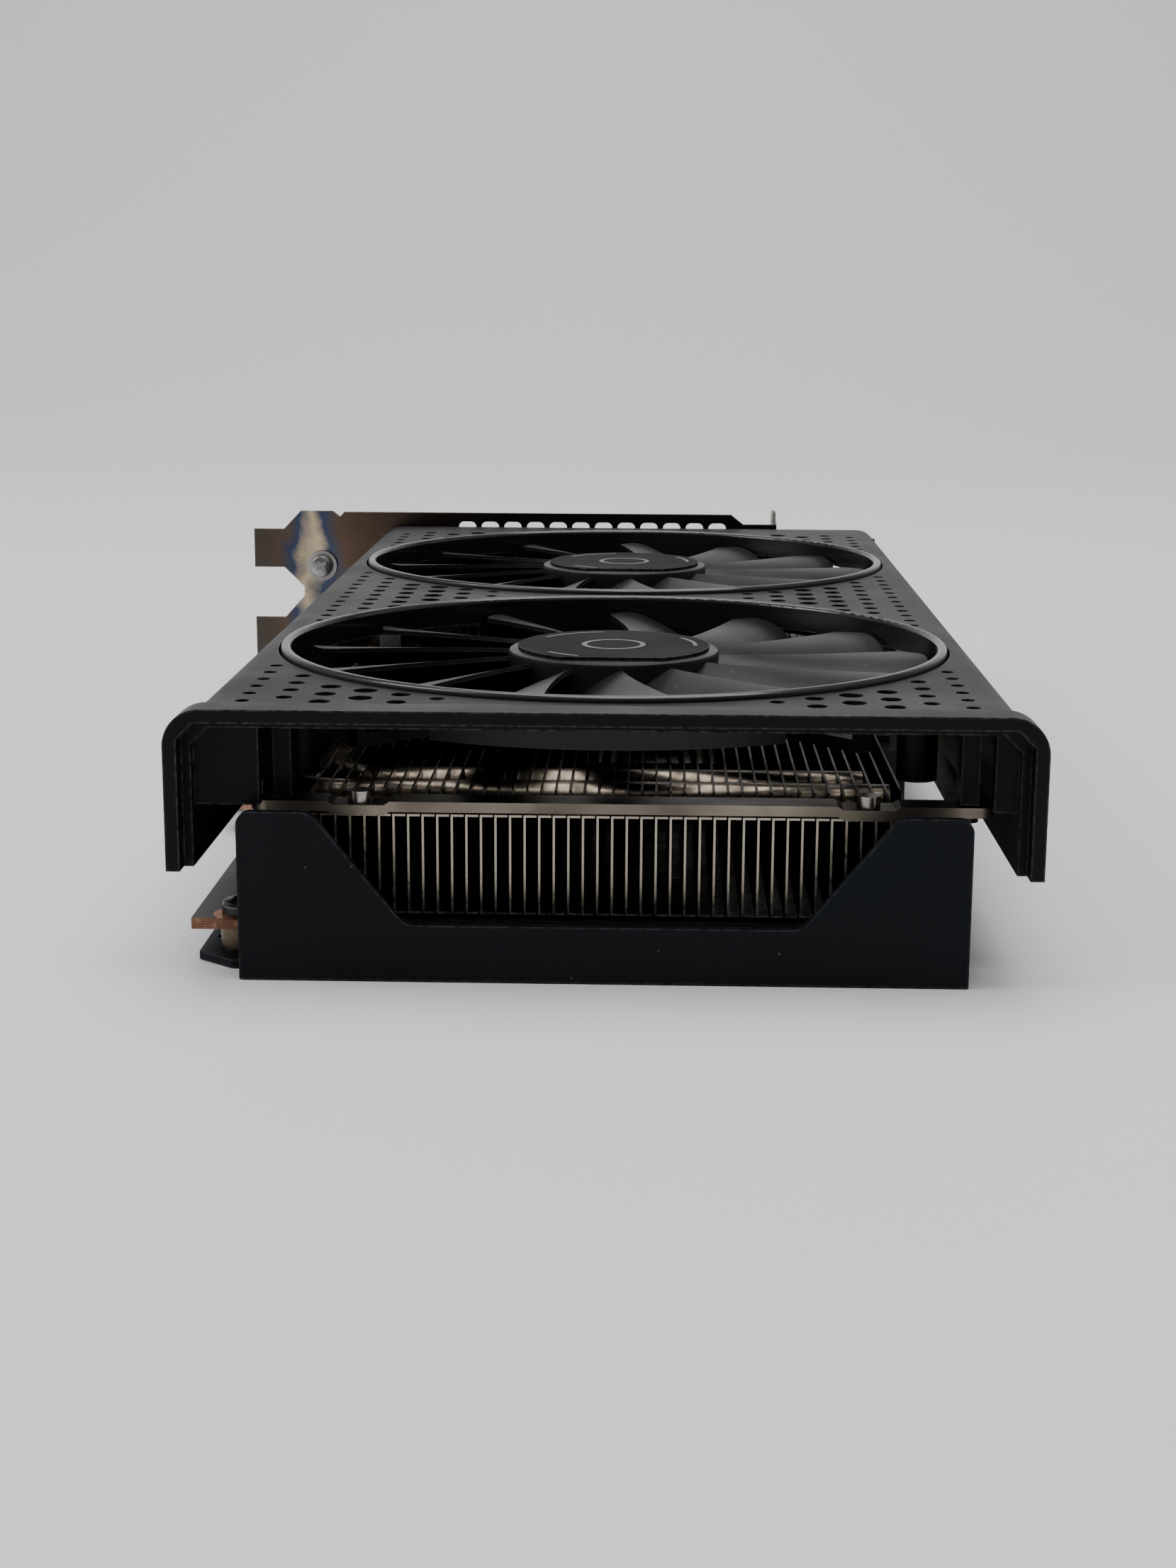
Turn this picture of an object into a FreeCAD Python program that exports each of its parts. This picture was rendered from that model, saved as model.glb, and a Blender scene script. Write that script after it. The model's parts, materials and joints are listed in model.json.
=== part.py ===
"""Dual-slot, two-fan graphics card, lying on its backplate with the fans facing up.

Frame: X runs from the edge connector (-X) to the power socket (+X), Y from the open end of the
shroud (-Y) to the I/O bracket (+Y), Z up out of the fans.  The origin is on the backplate's
underside, on the line of the two fan axes and midway between the open end and the bracket.
All sizes are millimetres.
"""
import FreeCAD, Part
import math
import os
import re
from FreeCAD import Placement, Rotation, Vector
import Sketcher

SIZES = {
    # overall
    "card_half": 120.0,            # open end, or the bracket's inner face, from the origin
    "fan_spacing": 109.5,
    # shroud: a moulded channel with a collar at its open end
    "shroud_half": 56.15,
    "shroud_top": 35.0,
    "shroud_low": 14.5,
    "shroud_wall": 2.0,
    "shroud_skin": 1.8,
    "shroud_round": 4.2,
    "inner_slope": 2.2,
    "shroud_gap": 2.0,             # between the shroud's far end and the bracket
    "rim_depth": 5.5,
    "rim_proud": 1.15,
    "rim_wall": 1.85,
    "rim_recess": 3.0,
    "rim_round": 5.0,
    "aperture_r": 51.8,
    "web_inner": 45.5,             # webs and posts that carry the shroud on the mid frame
    "web_thick": 2.2,
    "web_low": 22.6,
    "post_wide": 2.5,
    "post_deep": 4.4,
    "rib_low": 23.6,
    "rib_x": 49.6,
    "rib_y": 90.0,
    "rib_long": 24.0,
    "rib_thick": 1.8,
    "cross_rib_y": 108.6,
    "boss_x": 42.6,
    "boss_y": 99.0,
    "boss_r": 2.8,
    "left_post_x": 43.1,
    "right_post_x": 48.4,
    # perforations beside the fans
    "hole_column": 5.2,
    "hole_row": 5.8,
    "hole_outer_x": 49.0,
    "hole_first_y": 106.9,
    "hole_clear_r": 53.2,
    # fan frame
    "ring_gap": 0.4,
    "ring_wide": 1.6,
    "ring_proud": 0.9,
    "ring_low": 31.6,
    "skirt_low": 28.5,
    "skirt_half": 24.5,
    "strut_low": 25.6,
    "strut_thick": 1.8,
    "strut_wide": 2.4,
    "cup_r": 14.5,
    "cup_floor": 1.5,
    "holder_r": 3.4,
    "holder_top": 30.6,
    "ear_out": 2.9,
    "ear_wide": 5.0,
    "ear_thick": 1.6,
    # fan rotor
    "hub_r": 16.4,
    "hub_top": 34.5,
    "hub_low": 28.0,
    "hub_wall": 1.2,
    "hub_boss_r": 1.9,
    "blade_count": 13,
    "blade_tip_gap": 0.6,
    "blade_top": 34.2,
    "blade_low": 28.2,
    "blade_thick": 1.0,
    "blade_sweep": 15.0,
    "badge_r": 14.9,
    "badge_thick": 0.5,
    # fan motor
    "shaft_r": 1.0,
    "shaft_fit": 0.03,
    "sleeve_r": 2.4,
    "magnet_wide": 1.9,
    "magnet_low": 28.4,
    "magnet_high": 33.0,
    "stator_gap": 0.6,
    "stator_low": 28.6,
    "stator_high": 32.2,
    "board_thick": 0.8,
    # mid frame
    "frame_low": 20.9,
    "frame_thick": 1.4,
    "frame_left": 47.6,
    "frame_right": 52.0,
    "frame_joggle": 0.5,
    "strap_near": 111.5,
    "strap_deep": 5.0,
    "strap_far": 105.0,
    "rail_wide": 5.6,
    "rivet_x": 33.0,
    "rivet_r": 1.6,
    "rivet_high": 1.6,
    # fins
    "fin_count": 42,
    "fin_pitch": 1.96,
    "fin_thick": 0.3,
    "fin_near": 110.0,
    "fin_far": 98.0,
    "fin_low": 6.5,
    "fin_front_top": 20.3,
    "fin_step": 104.2,
    "fin_top": 22.6,
    "fin_raise_near": 62.0,
    "fin_tab": 1.45,
    "solder_gap": 0.05,
    # heat pipes and cold plate
    "pipe_r": 3.0,
    "pipe_high": 19.5,
    "pipe_bend": 9.0,
    "plate_half_x": 34.0,
    "plate_half_y": 33.0,
    "plate_thick": 3.2,
    "gpu_y": 2.0,
    # circuit board
    "board_low": 4.2,
    "pcb_thick": 1.57,
    "pcb_right": 47.0,
    "pcb_left_near": 56.0,
    "pcb_left": 65.25,
    "pcb_near": 111.0,
    "pcb_far": 118.6,
    "finger_tip": 73.5,
    "finger_far": 72.0,
    "finger_short": 11.65,
    "finger_key": 1.9,
    "finger_long": 71.65,
    "contact_pitch": 1.0,
    "contact_wide": 0.7,
    "contact_long": 5.6,
    "contact_thick": 0.06,
    "package_half": 18.0,
    "package_thick": 1.5,
    "die_x": 9.5,
    "die_y": 8.5,
    "die_thick": 0.83,
    "memory_long": 14.0,
    "memory_wide": 12.0,
    "memory_thick": 1.1,
    "memory_ring": 25.5,
    "memory_side": 8.0,
    "choke_side": 7.4,
    "choke_high": 4.2,
    "fet_long": 6.0,
    "fet_wide": 5.0,
    "fet_thick": 1.0,
    "can_r": 3.15,
    "can_high": 5.0,
    # power socket
    "socket_y": -30.0,
    "socket_wide": 18.6,
    "socket_high": 9.8,
    "socket_deep": 13.4,
    "socket_proud": 0.6,
    "socket_pitch": 4.2,
    "socket_cell": 3.4,
    "socket_floor": 2.4,
    "socket_cut_gap": 1.2,
    # display sockets
    "dp_wide": 17.2,
    "dp_high": 6.2,
    "dp_deep": 17.4,
    "dp_skin": 0.5,
    "hdmi_wide": 15.2,
    "port_pitch": 21.5,
    "port_first_x": -47.0,
    "port_proud": 0.9,
    "port_gap": 0.3,
    "tongue_thick": 1.3,
    # I/O bracket
    "bracket_thick": 0.86,
    "bracket_high": 38.2,
    "bracket_total": 120.02,
    "flange_x": 33.85,
    "flange_deep": 10.6,
    "bracket_body_x": 75.3,
    "tongue_wide": 8.8,
    "tongue_pitch": 20.4,
    "tongue_low": 4.8,
    "notch_deep": 4.6,
    "vent_wide": 4.0,
    "vent_pitch": 5.2,
    "vent_count": 12,
    "vent_last_x": 20.3,
    "vent_low": 17.0,
    "vent_high": 36.0,
    "lug_wide": 5.0,
    "lug_deep": 8.0,
    "bracket_screw_x": 70.5,
    "bracket_screw_z": 25.7,
    "bracket_screw_r": 3.4,
    # backplate
    "back_thick": 1.1,
    "back_half": 48.0,
    "back_far": 118.0,
    "back_left_near": 55.0,
    "back_left": 62.0,
    "back_step_near": 110.9,
    "back_step": 30.0,
    "wall_top": 22.7,
    "wall_thick": 1.2,
    "wall_round": 1.9,
    "window_low": 7.6,
    "window_low_half": 26.0,
    "window_top_half": 38.3,
    # fasteners
    "screw_r": 1.2,
    "screw_fit": 0.05,
    "head_r": 2.4,
    "head_high": 1.4,
    "standoff_r": 2.6,
    "small_screw_r": 0.8,
    "small_head_r": 1.5,
    "small_head_high": 0.9,
    "spring_x": 29.0,
    "spring_plate": 1.2,
    "spring_low": 2.6,
}

doc = FreeCAD.newDocument("GraphicsCard")
sheet = doc.addObject("Spreadsheet::Sheet", "Sizes")
for row, (alias, value) in enumerate(SIZES.items(), start=1):
    sheet.set("A%d" % row, alias)
    sheet.set("B%d" % row, str(value))
    sheet.setAlias("B%d" % row, alias)
doc.recompute()


class Size:
    """Reads a size from the sheet as a plain number: size.card_half."""

    def __getattr__(self, alias):
        return float(sheet.get(alias))


size = Size()
nodes = []


# --- helpers: binding, primitives, booleans --------------------------------------------------

def bound(expression):
    """Turns 'card_half - 2' into an expression that refers to the sheet's cells."""
    return re.sub(r"[a-z]+(?:_[a-z]+)*", lambda m: "Sizes." + m[0] if m[0] in SIZES else m[0],
                  str(expression))


def bind(item, **properties):
    for name, expression in properties.items():
        item.setExpression(name.replace("__", "."), bound(expression))
    return item


def put(item, x=0, y=0, z=0, axis=(0, 0, 1), angle=0):
    """Places an object at expressions for x, y and z, turned about an axis."""
    item.Placement = Placement(Vector(), Rotation(Vector(*axis), angle))
    for letter, expression in zip("xyz", (x, y, z)):
        item.setExpression("Placement.Base." + letter, bound(expression))
    return item


def node(item, label):
    """Names a finished sub-part; its file takes the label."""
    item.Label = label
    nodes.append(item)
    return item


def box(long, wide, high, x, y, z, angle=0):
    """Block whose low corner is at x, y, z."""
    item = doc.addObject("Part::Box", "Block")
    bind(item, Length=long, Width=wide, Height=high)
    return put(item, x, y, z, angle=angle)


def slab(long, wide, high, x, y, z):
    """Block centred on x and y, standing on z."""
    return box(long, wide, high, "(%s) - (%s)/2" % (x, long), "(%s) - (%s)/2" % (y, wide), z)


def rod(radius, high, x, y, z, axis=(0, 0, 1), angle=0):
    """Cylinder from x, y, z along +Z, or turned about an axis."""
    item = doc.addObject("Part::Cylinder", "Rod")
    bind(item, Radius=radius, Height=high)
    return put(item, x, y, z, axis, angle)


def fuse(*items):
    item = doc.addObject("Part::MultiFuse", "Joined")
    item.Shapes = list(items)
    item.Refine = True
    return item


def cut(base, *tools):
    item = doc.addObject("Part::Cut", "Cut")
    item.Base = base
    item.Tool = tools[0] if len(tools) == 1 else fuse(*tools)
    return item


def common(base, tool):
    item = doc.addObject("Part::Common", "Common")
    item.Base = base
    item.Tool = tool
    return item


def group(*items):
    """Separate solids that share one file."""
    item = doc.addObject("Part::Compound", "Group")
    item.Links = list(items)
    return item


def tube(outer, inner, high, x, y, z):
    over = 1
    bore = rod(inner, "(%s) + %d" % (high, 2 * over), x, y, "(%s) - %d" % (z, over))
    return cut(rod(outer, high, x, y, z), bore)


def feature(shape, place=None):
    """Shape made in code where neither a body nor a primitive fits."""
    item = doc.addObject("Part::Feature", "Shaped")
    item.Shape = shape
    item.Placement = place or Placement()
    return item


# --- helpers: sketched bodies ------------------------------------------------------------------

def body(label):
    return node(doc.addObject("PartDesign::Body", "Body"), label)


def sketch(owner, role, offset=0):
    """Sketch on one of the body's own planes, moved along the plane's normal."""
    item = owner.newObject("Sketcher::SketchObject", "Sketch")
    plane = [p for p in owner.Origin.OriginFeatures if p.Role == role][0]
    item.AttachmentSupport = (plane, [""])
    item.MapMode = "FlatFace"
    item.setExpression("AttachmentOffset.Base.z", bound(offset))
    return item


def outline(item, corners):
    """Closed outline; each corner is a pair of expressions."""
    values = [Vector(worth(x), worth(y), 0) for x, y in corners]
    count = len(corners)
    start = item.GeometryCount
    item.addGeometry([Part.LineSegment(values[n], values[(n + 1) % count]) for n in range(count)])
    rules = [Sketcher.Constraint("Coincident", start + n, 2, start + (n + 1) % count, 1)
             for n in range(count)]
    for n, place in enumerate(values):
        rules.append(Sketcher.Constraint("DistanceX", -1, 1, start + n, 1, place.x))
        rules.append(Sketcher.Constraint("DistanceY", -1, 1, start + n, 1, place.y))
    first = item.ConstraintCount
    item.addConstraint(rules)
    for n, (x, y) in enumerate(corners):
        item.setExpression("Constraints[%d]" % (first + count + 2 * n), bound(x))
        item.setExpression("Constraints[%d]" % (first + count + 2 * n + 1), bound(y))
    return item


def worth(expression):
    """Number that an expression has now."""
    return float(sheet.evalExpression(bound(expression)))


def circle(item, x, y, radius):
    place = Vector(worth(x), worth(y), 0)
    index = item.addGeometry(Part.Circle(place, Vector(0, 0, 1), worth(radius)))
    first = item.ConstraintCount
    item.addConstraint([Sketcher.Constraint("Radius", index, worth(radius)),
                        Sketcher.Constraint("DistanceX", -1, 1, index, 3, place.x),
                        Sketcher.Constraint("DistanceY", -1, 1, index, 3, place.y)])
    for n, expression in enumerate((radius, x, y)):
        item.setExpression("Constraints[%d]" % (first + n), bound(expression))


def pad(owner, profile, length, backwards=False):
    item = owner.newObject("PartDesign::Pad", "Pad")
    item.Profile = profile
    item.Reversed = backwards
    bind(item, Length=length)
    owner.Tip = item
    doc.recompute([owner])
    return item


def pocket(owner, profile, length, backwards=False):
    """Cut that must take something away."""
    before = owner.Shape.Volume
    item = owner.newObject("PartDesign::Pocket", "Pocket")
    item.Profile = profile
    item.Reversed = backwards
    bind(item, Length=length)
    owner.Tip = item
    doc.recompute([owner])
    if owner.Shape.Volume > before - 0.01:
        raise ValueError("pocket in %s cuts nothing" % owner.Label)
    return item


def fillet(owner, radius, chosen):
    """Rounds the edges of the body so far that the test picks."""
    base = owner.Tip
    names = ["Edge%d" % (n + 1) for n, edge in enumerate(base.Shape.Edges) if chosen(edge)]
    if not names:
        raise ValueError("no edges to round in %s" % owner.Label)
    item = owner.newObject("PartDesign::Fillet", "Fillet")
    item.Base = (base, names)
    bind(item, Radius=radius)
    owner.Tip = item
    doc.recompute([owner])
    if "Invalid" in item.State:
        raise ValueError("rounding in %s fails" % owner.Label)
    return item


def runs_along(edge, direction):
    """True for a straight edge parallel to a direction."""
    if not isinstance(edge.Curve, (Part.Line, Part.LineSegment)):
        return False
    span = edge.Vertexes[-1].Point - edge.Vertexes[0].Point
    return span.Length > 0 and abs(span.normalize().dot(Vector(*direction))) > 0.999


def near(value, target):
    return abs(value - target) < 0.01


# --- shroud ------------------------------------------------------------------------------------
# A moulded channel: flat perforated top, two side walls, and at the open end a collar that
# stands proud of it all round.  Webs and posts under the top rest on the mid frame.

def channel(owner, half, top, wall, skin, offset):
    section = sketch(owner, "XZ_Plane", offset)
    half, top = "(%s)" % half, "(%s)" % top
    return outline(section, [
        ("-%s" % half, "shroud_low"), ("-%s" % half, top), (half, top), (half, "shroud_low"),
        ("%s - %s" % (half, wall), "shroud_low"), ("%s - %s" % (half, wall), "%s - %s - inner_slope" % (top, skin)),
        ("%s - %s - inner_slope" % (half, wall), "%s - %s" % (top, skin)),
        ("-%s + %s + inner_slope" % (half, wall), "%s - %s" % (top, skin)),
        ("-%s + %s" % (half, wall), "%s - %s - inner_slope" % (top, skin)),
        ("-%s + %s" % (half, wall), "shroud_low")])


shroud = body("shroud")
pad(shroud, channel(shroud, "shroud_half", "shroud_top", "shroud_wall", "shroud_skin",
                    "card_half - rim_recess"), "2*card_half - rim_recess - shroud_gap", True)
fillet(shroud, "shroud_round", lambda e: runs_along(e, (0, 1, 0)) and near(e.CenterOfMass.z, size.shroud_top))
pad(shroud, channel(shroud, "shroud_half + rim_proud", "shroud_top + rim_proud", "rim_wall", "rim_wall",
                    "card_half"), "rim_depth", True)
fillet(shroud, "rim_round", lambda e: runs_along(e, (0, 1, 0))
       and near(e.CenterOfMass.z, size.shroud_top + size.rim_proud))

supports = sketch(shroud, "XY_Plane", "web_low")
for end in (-1, 1):
    deep = ("-strap_near" if end < 0 else "strap_far - strap_deep")
    middle = "%s + strap_deep/2" % deep
    for low, high in (("-left_post_x", None), ("right_post_x", None)):
        outline(supports, [("%s - post_wide/2" % low, "%s - post_deep/2" % middle),
                           ("%s + post_wide/2" % low, "%s - post_deep/2" % middle),
                           ("%s + post_wide/2" % low, "%s + post_deep/2" % middle),
                           ("%s - post_wide/2" % low, "%s + post_deep/2" % middle)])
pad(shroud, supports, "shroud_top - shroud_skin/2 - web_low")

webs = sketch(shroud, "XY_Plane", "web_low")
web_rows = ("-card_half + rim_recess + 1.5", "strap_far + 2")
for low in web_rows:
    for inner, outer in (("-web_inner", "-shroud_half + shroud_wall/2"),
                         ("right_post_x + 2.6", "shroud_half - shroud_wall/2")):
        outline(webs, [(inner, low), (outer, low), (outer, "%s + web_thick" % low),
                       (inner, "%s + web_thick" % low)])
pad(shroud, webs, "shroud_top - shroud_skin/2 - web_low")

ribs = sketch(shroud, "XY_Plane", "rib_low")
for side in ("-", ""):
    for end in ("-", ""):
        x_low, x_high = "%srib_x - rib_thick/2" % side, "%srib_x + rib_thick/2" % side
        y_low, y_high = "%srib_y - rib_long/2" % end, "%srib_y + rib_long/2" % end
        outline(ribs, [(x_low, y_low), (x_high, y_low), (x_high, y_high), (x_low, y_high)])
        circle(ribs, "%sboss_x" % side, "%sboss_y" % end, "boss_r")
outline(ribs, [("-boss_x + 4", "cross_rib_y"), ("boss_x - 4", "cross_rib_y"),
               ("boss_x - 4", "cross_rib_y + rib_thick"), ("-boss_x + 4", "cross_rib_y + rib_thick")])
pad(shroud, ribs, "shroud_top - shroud_skin/2 - rib_low")

openings = sketch(shroud, "XY_Plane", "shroud_top + 1")
for sign in ("-", ""):
    circle(openings, 0, "%sfan_spacing/2" % sign, "aperture_r")
pocket(shroud, openings, "shroud_skin + 3")

HOLE_DIAMETERS = (2.0, 2.4, 3.0, 3.4, 2.8, 2.2)
perforations = sketch(shroud, "XY_Plane", "shroud_top + 1")
rows = int(2 * size.hole_first_y / size.hole_row) + 1
holes = []
for column, diameter in enumerate(HOLE_DIAMETERS):
    shift = column % 2 / 2
    x = size.hole_outer_x - column * size.hole_column
    for row in range(rows):
        y = (row + shift) * size.hole_row - size.hole_first_y
        fan_distance = min(math.hypot(x, y - end * size.fan_spacing / 2) for end in (-1, 1))
        if fan_distance < size.hole_clear_r or y > size.hole_first_y:
            continue
        holes.extend(Part.Circle(Vector(side * x, y, 0), Vector(0, 0, 1), diameter / 2) for side in (-1, 1))
perforations.addGeometry(holes)
pocket(shroud, perforations, "shroud_skin + 3")

socket_gap = sketch(shroud, "YZ_Plane", "shroud_half + 1")
outline(socket_gap, [("socket_y - socket_wide/2 - socket_cut_gap", "shroud_low - 1"),
                     ("socket_y + socket_wide/2 + socket_cut_gap", "shroud_low - 1"),
                     ("socket_y + socket_wide/2 + socket_cut_gap", "frame_low - 0.5"),
                     ("socket_y - socket_wide/2 - socket_cut_gap", "frame_low - 0.5")])
pocket(shroud, socket_gap, "shroud_wall + 2")

post_bores = sketch(shroud, "XY_Plane", "web_low - 1")
POSTS = [("-left_post_x", end) for end in (-1, 1)] + [("right_post_x", end) for end in (-1, 1)]


def strap_middle(end):
    return "-strap_near + strap_deep/2" if end < 0 else "strap_far - strap_deep/2"


for x, end in POSTS:
    circle(post_bores, x, strap_middle(end), "small_screw_r + screw_fit")
pocket(shroud, post_bores, "6", True)


# --- fans --------------------------------------------------------------------------------------
# Each fan is a fixed frame (ring, struts, motor cup) under the shroud's opening, and a rotor
# that turns in it on a steel shaft in a sleeve bearing.

STRUT_ANGLES = (45, 135, 225, 315)


def fan_frame(name, y):
    """Ring with a proud bead, two deeper skirts, struts, motor cup and fixing ears."""
    ring_r = "(aperture_r - ring_gap)"
    ring_top = "(shroud_top + ring_proud)"
    ring = tube(ring_r, "%s - ring_wide" % ring_r, "%s - ring_low" % ring_top, 0, y, "ring_low")
    skirt = common(tube(ring_r, "%s - ring_wide" % ring_r, "ring_low - skirt_low + 0.5", 0, y, "skirt_low"),
                   slab("2*skirt_half", "3*aperture_r", "20", 0, y, "skirt_low - 5"))
    pieces = [ring, skirt, rod("cup_r", "cup_floor", 0, y, "strut_low"),
              rod("holder_r", "holder_top - strut_low", 0, y, "strut_low")]
    for angle in STRUT_ANGLES:
        turn = (math.cos(math.radians(angle)), math.sin(math.radians(angle)))

        def arm(start, long, wide, high, z):
            x_low = "(%s)*%.6f + (%s)/2*%.6f" % (start, turn[0], wide, turn[1])
            y_low = "%s + (%s)*%.6f - (%s)/2*%.6f" % (y, start, turn[1], wide, turn[0])
            return box(long, wide, high, x_low, y_low, z, angle)

        pieces.append(arm("holder_r", "%s - ring_wide/2 - holder_r" % ring_r, "strut_wide", "strut_thick",
                          "strut_low"))
        pieces.append(arm("%s - ring_wide" % ring_r, "ring_wide", "strut_wide",
                          "ring_low - strut_low + 0.5", "strut_low"))
        pieces.append(arm("%s - ring_wide/2" % ring_r, "ring_wide/2 + ear_out", "ear_wide", "ear_thick",
                          "shroud_top - shroud_skin - ear_thick"))
    solid = cut(fuse(*pieces), rod("sleeve_r", "holder_top - strut_low - cup_floor + 1", 0, y,
                                   "strut_low + cup_floor"))
    doc.recompute()
    bead = solid.Shape
    top = size.shroud_top + size.ring_proud
    edges = [n + 1 for n, e in enumerate(bead.Edges) if near(e.BoundBox.ZMin, top) and near(e.BoundBox.ZMax, top)]
    rounded = doc.addObject("Part::Fillet", "Bead")
    rounded.Base = solid
    round_r = size.ring_wide / 2 - 0.1
    rounded.Edges = [(n, round_r, round_r) for n in edges]
    return node(rounded, name + "_fan_frame")


def blade_shape():
    """One swept, twisted blade, trimmed to the tip circle; the fan blows down as it turns +Z."""
    tip_r = size.aperture_r - size.ring_gap - size.ring_wide - size.blade_tip_gap
    root_r = size.hub_r - size.hub_wall / 2
    middle_z = (size.blade_top + size.blade_low) / 2
    half_z = (size.blade_top - size.blade_low - size.blade_thick) / 2
    sections = []
    for step in range(5):
        share = step / 4
        radius = root_r + (tip_r + 1 - root_r) * share
        sweep = size.blade_sweep * share ** 1.5
        half_chord = 3.3 + 4.6 * share
        rise = half_z * (1 - 0.12 * share)
        camber = 0.5 + 0.5 * share
        thick = size.blade_thick * (1 - 0.25 * share) / 2
        upper, lower = [], []
        for place in (-1, -0.5, 0, 0.5, 1):
            across = sweep + half_chord * place
            line = middle_z + rise * place + camber * (1 - place * place)
            taper = thick * (1 - 0.55 * place * place)
            upper.append(Vector(radius, across, line + taper))
            lower.append(Vector(radius, across, line - taper))
        loop = upper + lower[::-1]
        sections.append(Part.makePolygon(loop + loop[:1]))
    blade = Part.makeLoft(sections, True, False)
    tip = Part.makeCylinder(tip_r, 30, Vector(0, 0, middle_z - 15))
    tip.rotate(Vector(), Vector(0, 0, 1), 180)
    return blade.common(tip)


def fan_rotor(name, y):
    """Hub shell with its shaft boss, and the blades round it."""
    shell = cut(rod("hub_r", "hub_top - hub_low", 0, 0, "hub_low"),
                rod("hub_r - hub_wall", "hub_top - hub_low - hub_wall + 1", 0, 0, "hub_low - 1"))
    boss = rod("hub_boss_r", "hub_top - hub_wall/2 - holder_top - 0.4", 0, 0, "holder_top + 0.4")
    bore = rod("shaft_r", "hub_top - hub_wall - holder_top", 0, 0, "holder_top")
    doc.recompute()
    blade = feature(blade_shape())
    blades = [feature(blade.Shape, Placement(Vector(), Rotation(Vector(0, 0, 1), 360 / size.blade_count * (n + 0.5))))
              for n in range(int(size.blade_count))]
    hub_round = doc.addObject("Part::Fillet", "HubRound")
    hub_round.Base = shell
    doc.recompute()
    top_edges = [n + 1 for n, e in enumerate(shell.Shape.Edges)
                 if near(e.BoundBox.ZMin, size.hub_top) and near(e.BoundBox.XMax, size.hub_r)]
    hub_round.Edges = [(n, size.hub_wall / 2, size.hub_wall / 2) for n in top_edges]
    rotor = cut(fuse(hub_round, boss, *blades), bore)
    return put(node(rotor, name + "_fan_rotor"), 0, y, 0)


def hub_badge(name, y):
    """Thin disc on the hub with two flats, one across the near side and one on the left."""
    disc = rod("badge_r", "badge_thick", 0, y, "hub_top")
    near_flat = box(60, 20, 4, -30, "%s - 0.86*badge_r - 20" % y, "hub_top - 1")
    left_flat = put(doc.addObject("Part::Box", "Flat"), "-0.62*badge_r", "%s - 1.02*badge_r" % y,
                    "hub_top - 1", angle=118)
    bind(left_flat, Length=60, Width=20, Height=4)
    return node(cut(disc, near_flat, left_flat), name + "_hub_badge")


def fan_motor(name, y):
    """Shaft, sleeve bearing, magnet ring, wound stator and drive board."""
    node(rod("shaft_r", "hub_top - hub_wall - strut_low - cup_floor - 0.4", 0, y,
             "strut_low + cup_floor + 0.4"), name + "_fan_shaft")
    node(tube("sleeve_r", "shaft_r + shaft_fit", "holder_top - strut_low - cup_floor", 0, y,
              "strut_low + cup_floor"), name + "_bearing_sleeve")
    magnet_r = "(hub_r - hub_wall)"
    node(tube(magnet_r, "%s - magnet_wide" % magnet_r, "magnet_high - magnet_low", 0, y, "magnet_low"),
         name + "_magnet_ring")
    stator_r = "(%s - magnet_wide - stator_gap)" % magnet_r
    core = tube("holder_r + 2.4", "holder_r", "stator_high - stator_low", 0, y, "stator_low")
    rim = tube(stator_r, "%s - 1.1" % stator_r, "stator_high - stator_low - 1", 0, y, "stator_low + 0.5")
    poles, slots = [], []
    for number in range(6):
        pole_turn, slot_turn = math.radians(60 * number + 15), math.radians(60 * number + 45)
        poles.append(box("%s - holder_r - 1.6" % stator_r, 2.6, "stator_high - stator_low - 0.4",
                         "(holder_r + 1)*%.6f + 1.3*%.6f" % (math.cos(pole_turn), math.sin(pole_turn)),
                         "%s + (holder_r + 1)*%.6f - 1.3*%.6f" % (y, math.sin(pole_turn), math.cos(pole_turn)),
                         "stator_low + 0.2", 60 * number + 15))
        slots.append(box(20, 1.2, 10, 0.6 * math.sin(slot_turn), "%s - %.6f" % (y, 0.6 * math.cos(slot_turn)),
                         "stator_low - 1", 60 * number + 45))
    node(fuse(core, cut(rim, *slots), *poles), name + "_stator")
    node(tube("cup_r - 1.5", "holder_r + 0.1", "board_thick", 0, y, "strut_low + strut_thick"),
         name + "_motor_board")


FANS = (("near", "-fan_spacing/2"), ("far", "fan_spacing/2"))
for fan_name, fan_y in FANS:
    fan_frame(fan_name, fan_y)
    fan_rotor(fan_name, fan_y)
    hub_badge(fan_name, fan_y)
    fan_motor(fan_name, fan_y)


# --- mid frame ---------------------------------------------------------------------------------
# Plated steel: a strap across each end and a rail along the power-socket side.  The straps dip
# at their rivets, and the shroud's posts stand on their ends.

mid_frame = body("mid_frame")


def strap(start):
    joggle = "(frame_joggle)"
    low, high = "frame_low", "(frame_low + frame_thick)"
    dip_low, dip_high = "frame_low - %s" % joggle, "%s - %s" % (high, joggle)
    bends = [("-frame_left", 0), ("-rivet_x - 4.2", 0), ("-rivet_x - 3.4", 1), ("-rivet_x + 3.4", 1),
             ("-rivet_x + 4.2", 0), ("rivet_x - 2", 0), ("rivet_x - 1.2", 1), ("rivet_x + 5.6", 1),
             ("rivet_x + 6.4", 0), ("frame_right", 0)]
    under = [(x, dip_low if dipped else low) for x, dipped in bends]
    over = [(x, dip_high if dipped else high) for x, dipped in reversed(bends)]
    profile = outline(sketch(mid_frame, "XZ_Plane", start), under + over)
    pad(mid_frame, profile, "strap_deep", True)


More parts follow.
